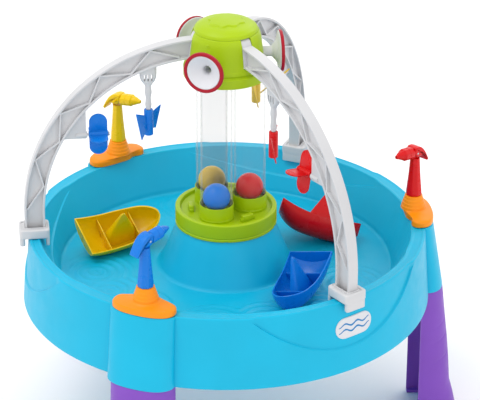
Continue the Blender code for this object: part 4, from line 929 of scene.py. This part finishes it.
def clamp_shells():
    """The upper block, a tab outside the rim and one inside it, and a collar round the arch."""
    upper = slab(box_line(clamp_in, clamp_out, -clamp_half, clamp_half, 0.008, 6),
                 rim_z + 0.0004, clamp_top, 0.0028, steps=5)
    outer_line = box_line(0.3586, clamp_out - 0.0004, -clamp_half + 0.0028, clamp_half - 0.0028, 0.0040, 5)
    outer_tab = slab(outer_line, clamp_low, rim_z + 0.006, 0.0016, steps=3)
    inner_tab = slab(box_line(clamp_in + 0.0004, 0.3218, -clamp_half + 0.002, clamp_half - 0.002, 0.003, 4),
                     clamp_low, rim_z + 0.006, 0.0016, steps=3)
    collar_line = box_line(arch_centre_r + arch_inner - 0.0035, arch_centre_r + arch_outer + 0.0033,
                           -arch_half - 0.0035, arch_half + 0.0035, 0.0035, 5)
    collar_block = slab(collar_line, rim_z + 0.006, clamp_top, 0.0008, steps=3)
    return [upper], [outer_tab, inner_tab], [collar_block]


pocket = block((arch_centre_r + arch_inner - 0.0004, -arch_half - 0.0004, arch_foot_z - 0.0003),
               (arch_centre_r + arch_outer + 0.0004, arch_half + 0.0004, clamp_top + 0.01))
moat_outer = box_line(0.3180, 0.3652, -arch_half - 0.0052, arch_half + 0.0052, 0.0042, 4)
moat_levels = np.stack([np.column_stack([moat_outer, np.full(len(moat_outer), z)])
                        for z in (clamp_top - 0.0012, clamp_top + 0.01)])
upper_shells, tab_shells, collar_shells = clamp_shells()
for colour in colours:
    clamp = make_piece(f"clamp_{colour}_block", placed(upper_shells, arch_turn[colour]), pale_grey,
                       "table", f"arch_clamp_{colour}")
    cut(clamp, placed([skin(moat_levels), pocket], arch_turn[colour]))
    collar = make_piece(f"clamp_{colour}_collar", placed(collar_shells, arch_turn[colour]), pale_grey,
                        "table")
    cut(collar, placed([pocket], arch_turn[colour]))
    make_piece(f"clamp_{colour}_tabs", placed(tab_shells, arch_turn[colour]), pale_grey, "table")
print("clamp", np.round(clamp.dimensions, 4))

# %% [markdown]
# ## Spinners
# Under each arch hang a two-vane propeller and a four-paddle wheel. The hanger is a waisted stalk, a
# loft of rounded sections. A vane is a thin plate whose sections turn a little towards the tip.

# %% Hangers
propeller_r_axis, propeller_hub_r, propeller_hub_half = 0.1358, 0.008, 0.024
propeller_z = joints["blue_propeller_spin"]["pos_m"][2]
arch_roof = arch_z + np.sqrt(arch_inner ** 2 - (propeller_r_axis - arch_centre_r) ** 2)


def rounded_section(half_x, half_y, count=32, power=3.0):
    """The superellipse |x/a|^n + |y/b|^n = 1."""
    q = np.linspace(0, 2 * np.pi, count, endpoint=False) + np.pi / count
    x = half_x * np.sign(np.cos(q)) * np.abs(np.cos(q)) ** (2 / power)
    y = half_y * np.sign(np.sin(q)) * np.abs(np.sin(q)) ** (2 / power)
    return np.column_stack([x, y])


def hanger_shell():
    """Superellipses whose half widths follow the stalk's levels; the top one bends with the arch."""
    hub_top = propeller_z + propeller_hub_half
    levels = np.array([(arch_roof - 0.010, 0.0150, 0.0070), (arch_roof - 0.018, 0.0142, 0.0066),
                       (arch_roof - 0.024, 0.0118, 0.0058), (arch_roof - 0.030, 0.0070, 0.0048),
                       (arch_roof - 0.034, 0.0050, 0.0042), (arch_roof - 0.041, 0.0057, 0.0045),
                       (arch_roof - 0.046, 0.0062, 0.0046), (arch_roof - 0.052, 0.0050, 0.0042),
                       (arch_roof - 0.056, 0.0044, 0.0040), (hub_top + 0.015, 0.0050, 0.0043),
                       (hub_top + 0.010, 0.0056, 0.0046), (hub_top + 0.004, 0.0050, 0.0044),
                       (hub_top + 0.0008, 0.0040, 0.0040), (hub_top + 0.0004, 0.0027, 0.0027),
                       (propeller_z - propeller_hub_half + 0.008, 0.0027, 0.0027)])
    first = rounded_section(0.0150, 0.0070)
    reach = propeller_r_axis + first[:, 0] - arch_centre_r
    rings = [np.column_stack([first, arch_z + np.sqrt((arch_inner - 0.0006) ** 2 - reach ** 2)])]
    for z, half_x, half_y in levels:
        section = rounded_section(half_x, half_y, power=3.0 if half_x > 0.003 else 2.0)
        rings.append(np.column_stack([section, np.full(len(section), z)]))
    return skin(np.stack(rings))


hanger_slots = [block((x - 0.0012, -0.02, arch_roof - 0.023), (x + 0.0012, 0.02, arch_roof - 0.0105))
                for x in (-0.0062, 0.0, 0.0062)]
for colour in colours:
    hanger = make_piece(f"hanger_{colour}_stalk", placed([hanger_shell()], arch_turn[colour],
                        (propeller_r_axis, 0, 0)), pale_grey, "table", f"hanger_{colour}")
    cut(hanger, placed(hanger_slots, arch_turn[colour], (propeller_r_axis, 0, 0)))
print("hanger", np.round(hanger.dimensions, 4))


# %% Propellers
def vane(side):
    """Rounded plates from the hub to the tip: their height grows by 28 to 49 mm and they lean by
    14 degrees times r / tip."""
    tip = 0.0295
    r = np.concatenate([np.linspace(0.0065, tip - 0.0012, 12), (tip - 0.0004, tip)])[:, None]
    height = np.interp(r, (0.0065, tip), (0.028, 0.049))
    close = np.sqrt(np.clip(1 - (np.clip(r - (tip - 0.0012), 0, None) / 0.0013) ** 2, 0.02, 1))
    section = rounded_section(1.0, 1.0, 40, 6.0)
    bead = 1 + 0.35 * np.exp(-((r - 0.0275) / 0.0012) ** 2)
    y = section[None, :, 0] * 0.0010 * close * bead
    z = section[None, :, 1] * (height / 2 - 0.0012 * (1 - close))
    lean = np.radians(14) * side * r / tip
    points = np.stack([side * (r + 0 * y), y * np.cos(lean) - z * np.sin(lean),
                       y * np.sin(lean) + z * np.cos(lean)], -1)
    return skin(points)


half = propeller_hub_half
hub_line = rounded([(0.0, half - 0.002), (0.0030, half - 0.002), (0.0034, half), (propeller_hub_r, half),
                    (propeller_hub_r, -half), (0.0, -half)], (0, 0.0004, 0.0004, 0.0016, 0.0016, 0), 5,
                   closed=False)
propeller_angle = {"blue": 50.0, "red": 141.0, "yellow": 20.0}
for colour in colours:
    middle = np.array(joints[f"{colour}_propeller_spin"]["pos_m"])
    shells = placed([turned(hub_line, 48), vane(1), vane(-1)],
                    arch_turn[colour] + np.radians(propeller_angle[colour]), origin=middle)
    propeller = make_piece(f"propeller_{colour}_vanes", shells, bright[colour], f"{colour}_propeller",
                           f"propeller_{colour}")
print("propeller", np.round(propeller.dimensions, 4))


# %% Paddle wheels and axles
def paddle(angle):
    """A round-ended plate with a raised rim, turned about the axle."""
    bow = wheel_width / 2 - 0.001
    q = np.linspace(0, np.pi, 19)
    outline = np.concatenate([[(-bow, 0.004), (bow, 0.004)],
                              np.column_stack([bow * np.cos(q), 0.0385 - bow + bow * np.sin(q)])[1:]])
    plate = slab(outline, -0.0008, 0.0008, 0.0004, "Y", 2)
    rows = np.stack([np.column_stack([drawn_in(outline, inset), np.full(len(outline), level)])[:, [0, 2, 1]]
                     for inset, level in ((0, -0.0008), (0.0, 0.0008), (0.0004, 0.0011), (0.0018, 0.0011),
                                          (0.0022, 0.0008), (0.0022, -0.0008), (0.0018, -0.0011),
                                          (0.0004, -0.0011))])
    return [(spun(points, angle, "X"), faces) for points, faces in (plate, skin(rows, along=True))]


bore = axle_r + 0.0003
half = wheel_width / 2
wheel_hub = rounded([(bore, -half), (0.006, -half), (0.006, half), (bore, half)],
                    (0.0004, 0.001, 0.001, 0.0004), 4)
wheel_angle = {"blue": 0.0, "red": -10.0, "yellow": 45.0}
axle_line = rounded([(0.0, half + 0.0182), (axle_r, half + 0.0182), (axle_r, -half - 0.0006),
                     (2 * axle_r, -half - 0.0006), (2 * axle_r, -half - 0.0026), (0.0, -half - 0.0030)],
                    (0, 0.0004, 0.0002, 0.0004, 0.0010, 0), 4, closed=False)
for colour in colours:
    middle = np.array(joints[f"{colour}_wheel_spin"]["pos_m"])
    paddles = [shell for quarter in range(4) for shell in paddle(quarter * np.pi / 2)]
    spin = np.radians(wheel_angle[colour])
    shells = [(spun(points, spin, "X"), faces) for points, faces in
              [turned(wheel_hub, 48, "X", along=True)] + paddles]
    wheel = make_piece(f"wheel_{colour}_paddles", placed(shells, arch_turn[colour], origin=middle),
                       bright[colour], f"{colour}_wheel", f"paddle_wheel_{colour}")
    make_piece(f"axle_{colour}_pin", placed([turned(axle_line, 32, "X")], arch_turn[colour], origin=middle),
               steel, "table", f"wheel_axle_{colour}")
print("wheel", np.round(wheel.dimensions, 4))

# %% [markdown]
# ## Squirters
# A squirter is a small pump gun: an orange foot with stepped rings on the rim, an eight-sided stem, a
# barrel with a fine tip, and a trigger that pivots on a steel pin. All but the foot swing together.
# The stem and the barrel are lofts of eight-sided rings with softened corners.

# %% The squirters' frame
pump_axis_r, cover_z = 0.3385, rim_z + 0.0003
cover_top = cover_z + 0.0405
stem_foot_r, stem_top_r, stem_height = 0.0148, 0.0090, 0.072
head_z, head_half, head_tall = 0.0855, 0.0105, 0.0215
neck_front, barrel_length, pin_x, pin_z = 0.0112, 0.0415, 0.004, 0.084
squirter_angle = {"blue": -22.0, "red": 40.0, "yellow": 20.0}


def on_swivel(colour, shells, shift=(0, 0, 0)):
    """Shells in a squirter's frame (barrel along +X), turned and moved to its swivel."""
    turn = squirter_turn[colour] + np.pi + np.radians(squirter_angle[colour])
    return placed(shells, turn, shift, np.array(joints[f"{colour}_swivel"]["pos_m"]))


# %% Stepped foot on the rim
def foot_points():
    """Rings that blend from a bean to a circle: point = (1 - k) bean + k circle, rising in four steps.
    The bean is a superellipse bent by y^2 / (2.2 R) with a scallop 7 mm exp(-((y + 30) / 10)^2)."""
    q = np.linspace(0, 2 * np.pi, 128, endpoint=False)
    middle = 0.3728 - 0.0245

    def bean(scale):
        x = 0.0245 * scale * np.abs(np.cos(q)) ** 0.75 * np.sign(np.cos(q))
        y = 0.0565 * scale * np.abs(np.sin(q)) ** 0.75 * np.sign(np.sin(q))
        x = x + np.where(np.cos(q) < 0, 0.007 * scale * np.exp(-((y + 0.030) / 0.010) ** 2), 0)
        return np.stack([middle + x - y * y / (2.2 * rim_outer_r), y], -1)

    def circle(radius):
        return np.stack([pump_axis_r + radius * np.cos(q), radius * np.sin(q)], -1)

    edge = cover_z + 0.0095
    rows = [(bean(0.975), cover_z), (bean(1.0), cover_z + 0.0006), (bean(1.0), edge - 0.003),
            (bean(0.995), edge - 0.001), (bean(0.978), edge + 0.0006), (bean(0.94), edge + 0.0022)]
    start, end = bean(0.94), circle(0.0226)
    for k, rise in ((0.25, 0.0029), (0.50, 0.0035), (0.75, 0.0042), (0.93, 0.0052), (1.0, 0.0062)):
        rows.append(((1 - k) * start + k * end, edge + rise))
    step_rise = 0.0062
    for step, radius in enumerate((0.0220, 0.0201, 0.0182, 0.0163)):
        low = edge + step_rise * (step + 1)
        rows += [(circle(radius), low + 0.0006), (circle(radius - 0.0003), low + 0.0046),
                 (circle(radius - 0.0007), low + 0.0055), (circle(radius - 0.0014), low + 0.0060)]
    rows += [(circle(0.0065), cover_top), (circle(0.0065), cover_top - 0.0067),
             (circle(0.0148), cover_top - 0.0067),
             (circle(0.0163), edge + 0.004), (bean(0.86), edge - 0.002), (bean(0.86), cover_z)]
    return np.stack([np.column_stack([line, np.full(len(line), z)]) for line, z in rows])


for colour in colours:
    foot = make_piece(f"squirter_foot_{colour}", placed([skin(foot_points(), along=True)],
                      squirter_turn[colour]), orange, "table", f"pump_cover_{colour}", sharp=40)
print("squirter foot", np.round(foot.dimensions, 4))


# %% Eight-sided stem
def octagon(half_a, half_b, soft=0.0012, steps=3):
    """Eight corners on an ellipse whose flats touch the half widths, each softened."""
    q = np.pi / 4 * (np.arange(8) + 0.5)
    scale = 1 / np.cos(np.pi / 8)
    return rounded(np.column_stack([half_a * np.cos(q), half_b * np.sin(q)]) * scale, soft, steps)


def stem_shells():
    """The stem's octagon shrinks from 14.8 to 11.2 mm and then to 9.0 mm; a tongue stands on top."""
    scale = np.cos(np.pi / 8)
    levels = rounded([(0.0062, -0.0055), (0.0062, 0.0), (stem_foot_r - 0.0006, 0.0), (stem_foot_r, 0.004),
                      (stem_top_r + 0.0022, stem_height * 0.55), (stem_top_r, stem_height)],
                     (0, 0.0005, 0.0010, 0.002, 0.010, 0), 5, closed=False)
    rings = [np.column_stack([octagon(r * scale, r * scale, 0.10 * r), np.full(32, z)]) for r, z in levels]
    h = stem_height
    tongue = rounded([(-0.0040, h - 0.002), (0.0070, h - 0.002), (neck_front, h + 0.006),
                      (neck_front, h + 0.0175), (-0.0015, h + 0.0175), (-0.0040, h + 0.012)], 0.001, 3)
    return [skin(np.stack(rings)), slab(tongue, -0.0042, 0.0042, 0.0006, "Y", 2)]


# %% Barrel
def barrel_shells():
    """Octagons along the barrel that taper to a tip, with a fine parting line before the taper."""
    rear, half_tall = neck_front + 0.0003, head_tall / 2
    levels = np.array([(0.0, head_half - 0.0007, half_tall - 0.0012),
                       (0.0006, head_half - 0.0001, half_tall - 0.0005),
                       (0.0020, head_half, half_tall), (0.0112, head_half, half_tall),
                       (0.0116, head_half - 0.0005, half_tall - 0.0005),
                       (0.0124, head_half - 0.0005, half_tall - 0.0005), (0.0128, head_half, half_tall),
                       (0.0225, head_half, half_tall), (0.0236, head_half - 0.0005, half_tall - 0.0005),
                       (0.0246, head_half - 0.0016, half_tall - 0.0016), (0.0262, 0.0080, 0.0083),
                       (0.0295, 0.0071, 0.0074), (0.0330, 0.0060, 0.0064), (0.0350, 0.0049, 0.0052),
                       (0.0385, 0.0037, 0.0040), (barrel_length - 0.0005, 0.0030, 0.0032),
                       (barrel_length, 0.0025, 0.0027), (barrel_length, 0.0012, 0.0012),
                       (barrel_length - 0.010, 0.0012, 0.0012)])
    rings = []
    for reach, half_w, half_t in levels:
        z = head_z + 0.10 * min(reach, 0.033) + 0.02 * reach
        line = octagon(half_w, half_t, 0.12 * half_w)
        rings.append(np.column_stack([np.full(32, rear + reach), line[:, 0], line[:, 1] + z]))
    return [skin(np.stack(rings))]


# %% Trigger
def trigger_shells():
    """A slab with the hood's outline; its tail is a curve behind the stem. Origin at the pivot."""
    top, front = head_z + head_tall / 2, neck_front - 0.0002
    outline = np.array([(front, pin_z + 0.0015), (front, top), (0.0020, top), (-0.0070, top - 0.0032),
                        (-0.0145, top - 0.0105), (-0.0205, top - 0.0198), (-0.0272, top - 0.0322),
                        (-0.0228, top - 0.0348), (-0.0165, top - 0.0235), (-0.0105, top - 0.0165),
                        (-0.0068, stem_height + 0.0045), (0.0060, stem_height + 0.0045)])
    bends = (0.0008, 0.0030, 0.004, 0.006, 0.006, 0.006, 0.0022, 0.0018, 0.006, 0.004, 0.002, 0.002)
    line = rounded(outline, bends, 5) - (pin_x, pin_z)
    return [slab(line, -head_half, head_half, 0.0024, "Y", 5)]


trigger_slot = block((-0.0072 - pin_x, -0.0046, stem_height - 0.01 - pin_z),
                     (0.03, 0.0046, stem_height + 0.0190 - pin_z))
pin_bore = turned([(0.0, -0.02), (0.0023, -0.02), (0.0023, 0.02), (0.0, 0.02)], 28, "X")
pin_bore = (spun(pin_bore[0], np.pi / 2), pin_bore[1])
pin_line = rounded([(0.0, -head_half), (0.0020, -head_half), (0.0020, head_half), (0.0, head_half)],
                   (0, 0.0005, 0.0005, 0), 4, closed=False)
pin_points, pin_faces = turned(pin_line, 28, "X")
pin_shell, pivot = (spun(pin_points, np.pi / 2), pin_faces), (pin_x, 0, pin_z)
for colour in colours:
    body, paint = f"{colour}_squirter", bright[colour]
    stem = make_piece(f"squirter_{colour}_stem", on_swivel(colour, stem_shells()), paint, body,
                      f"pump_stem_{colour}", sharp=22)
    cut(stem, on_swivel(colour, [pin_bore], pivot))
    make_piece(f"squirter_{colour}_barrel", on_swivel(colour, barrel_shells()), paint, body,
               f"nozzle_{colour}", sharp=22)
    trigger = make_piece(f"squirter_{colour}_trigger", on_swivel(colour, trigger_shells(), pivot), paint,
                         f"{colour}_trigger", f"trigger_{colour}")
    cut(trigger, on_swivel(colour, [trigger_slot, pin_bore], pivot))
    make_piece(f"squirter_{colour}_pin", on_swivel(colour, [pin_shell], pivot), steel, body,
               f"trigger_pin_{colour}")
print("squirter", np.round(trigger.dimensions, 4))

# %% [markdown]
# ## Boats
# Three thin hulls with a flat stern, a raised bow and a wedge for a sail. The hull is one closed
# surface: each row runs down the outside and back up the inside, and the first and last rows shrink to
# a point on the stern's and the bow's edge, which closes both ends.

# %% Hull
boat_length, boat_beam, boat_depth, boat_sheer, boat_wall = 0.150, 0.082, 0.036, 0.012, 0.0022
sail_height, sail_length, sail_thick = 0.082, 0.070, 0.026


def hull_shape(s):
    """Half width, edge height and keel height at s from -1 (stern) to 1 (bow)."""
    fullness = 0.94 - 0.06 * s - 0.30 * np.maximum(s, 0) ** 1.5
    point = np.clip(1 - (np.clip(s - 0.45, 0, None) / 0.56) ** 2.6, 0, 1) ** 0.5
    edge, keel = boat_depth + boat_sheer * s * s, 0.70 * boat_depth * np.abs(s) ** 3.5
    return boat_beam / 2 * fullness * point, edge, keel


def hull_shell():
    """y = half width sin q and z = edge - (edge - keel) cos(q)^0.9, for q from -90 to 90 degrees."""
    stations = [-1, -1], np.linspace(-0.985, 0.40, 34), np.linspace(0.45, 0.985, 26), [1.0, 1.0]
    s = np.concatenate(stations)[:, None]
    q = np.linspace(-np.pi / 2, np.pi / 2, 41)[None, :]
    shorter = 1 - 2 * boat_wall / boat_length
    sides = []
    for inner in (False, True):
        half, edge, keel = hull_shape(s)
        half = np.maximum(half - boat_wall, 0.0004) if inner else half
        keel = keel + boat_wall if inner else keel
        x = boat_length / 2 * s * (shorter if inner else 1) + 0 * q
        y = half * np.sin(q)
        z = edge - np.maximum(edge - keel, 0.001) * np.clip(np.cos(q), 0, 1) ** 0.9
        side = np.stack([x, y, z], -1)
        middle = np.stack([x, 0 * y, edge + 0 * y], -1)
        side[[0, -1]] = middle[[0, -1]]
        sides.append(side[:, ::-1] if inner else side)
    return skin(np.concatenate(sides, 1), capped=True)


def sail_shell():
    """Superellipses that shrink from the keel to the sail's tip, fuller near the foot."""
    rows, sail_foot = [], boat_depth * 0.12
    for k in np.concatenate([np.linspace(0, 0.96, 18), (0.985, 1.0)]):
        closing = 1 if k < 0.98 else 0.8 if k < 0.99 else 0.45
        along = (sail_length / 2) * (1 - 0.92 * k ** 1.05) * closing
        across = (sail_thick / 2) * (1 - 0.86 * k) * closing
        section = rounded_section(along, across, 40, 4.5)
        rows.append(np.column_stack([section, np.full(40, sail_foot + k * (sail_height - sail_foot))]))
    return skin(np.stack(rows))


def hull_rib(s, thick=0.0009):
    """A thin frame across the hull, with the inner section's outline up to 30 mm."""
    half, edge, keel = hull_shape(s)
    half, keel = half - boat_wall * 0.6, keel + boat_wall * 0.6
    level = boat_depth - 0.006
    limit = np.arccos(np.clip((edge - level) / (edge - keel), 0, 1) ** (1 / 0.9))
    q = np.linspace(-limit, limit, 25)
    line = np.column_stack([half * np.sin(q), edge - (edge - keel) * np.cos(q) ** 0.9])
    return slab(line, s * boat_length / 2 - thick, s * boat_length / 2 + thick, 0.0004, "X", 2)


# %% Lay the boats in the basin
boat_turn = {"blue": (11.6, 6.4, 271.7), "red": (-34.0, 15.0, 15.5), "yellow": (30.0, -6.6, 48.6)}
boat_shells = [hull_shell(), sail_shell(), hull_rib(-0.42), hull_rib(0.38)]
for colour in colours:
    roll, pitch, heading = np.radians(boat_turn[colour])
    laid = [(spun(spun(spun(points, roll, "X"), pitch, "Y"), heading), faces)
            for points, faces in boat_shells]
    hull_points = np.concatenate([points for points, _ in laid])
    low, high = corners(f"boat_{colour}")
    shift = (low + high) / 2 - (hull_points.min(0) + hull_points.max(0)) / 2
    make_piece(f"boat_{colour}_hull", [(points + shift, faces) for points, faces in laid],
               bright[colour], f"{colour}_boat", f"boat_{colour}", sharp=40)
    print("boat", colour, "is within", np.round(hull_points.min(0) + shift - low, 4))

# %% [markdown]
# ## Badge
# The real table wears a maker's plaque. This one is a plain white pill with two blue waves, so that it
# stands for no maker. All are flat outlines that are bent onto the skirt.

# %% Plaque and wave
badge_turn, badge_drop, badge_half, badge_tall = np.radians(331.0), 0.050, 0.039, 0.0190


def on_skirt(shell):
    """Takes (across, up, lift) to the sunk part of the skirt: angle = across / R, r = wall + lift."""
    across, up, lift = shell[0].T
    drop = badge_drop - up
    r = rim_outer_r + skirt_flare * drop / skirt_drop - 0.0035 + lift
    angle = badge_turn + across / rim_outer_r
    return np.column_stack([r * np.cos(angle), r * np.sin(angle), rim_z - drop]), shell[1]


def pill(half, tall, steps=12):
    """A straight stretch with a half circle at each end."""
    q = np.linspace(-np.pi / 2, np.pi / 2, steps)
    right = np.column_stack([half - tall + tall * np.cos(q), tall * np.sin(q)])
    flat = np.linspace(half - tall, tall - half, 14)[1:-1]
    top, foot = np.column_stack([flat, 0 * flat + tall]), np.column_stack([-flat, 0 * flat - tall])
    return np.concatenate([right, top, -right, foot])


def plaque():
    """Pill outlines drawn in towards the middle line, so the bent face has points of its own."""
    rows = [(1.0, -0.0010), (1.0, 0.0012), (0.985, 0.0017), (0.955, 0.0020), (0.91, 0.0020), (0.89, 0.0016),
            (0.87, 0.0015)] + [(scale, 0.0015) for scale in (0.75, 0.6, 0.45, 0.3, 0.15, 0.02)]
    rows = [(0.02, -0.0010), (0.5, -0.0010)] + rows
    outline = pill(badge_half, badge_tall)
    return skin(np.stack([np.column_stack([outline * scale, np.full(len(outline), lift)])
                          for scale, lift in rows]))


def wave(level, height, thick):
    """A ribbon along z = level + height sin(2 pi x / 26 mm), thinner towards both ends."""
    reach = np.sqrt(np.clip((badge_tall * 0.84) ** 2 - level ** 2, 0, None)) + badge_half - badge_tall
    x = np.linspace(-reach + 0.002, reach - 0.002, 120)
    taper = np.sqrt(np.clip(1 - (x / reach) ** 2, 0.02, 1))
    middle = level + height * np.sin(2 * np.pi * x / 0.026)
    upper = np.column_stack([x, middle + thick * taper])
    under = np.column_stack([x, middle - thick * taper])
    return slab(np.concatenate([under, upper[::-1]]), 0.0010, 0.0019, 0.0002, steps=2)


make_piece("badge_plaque", placed([on_skirt(plaque())]), white, "table", "badge")
waves = [on_skirt(wave(level, 0.0026, 0.0016)) for level in (0.0055, -0.0050)]
make_piece("badge_waves", placed(waves), wave_blue, "table")
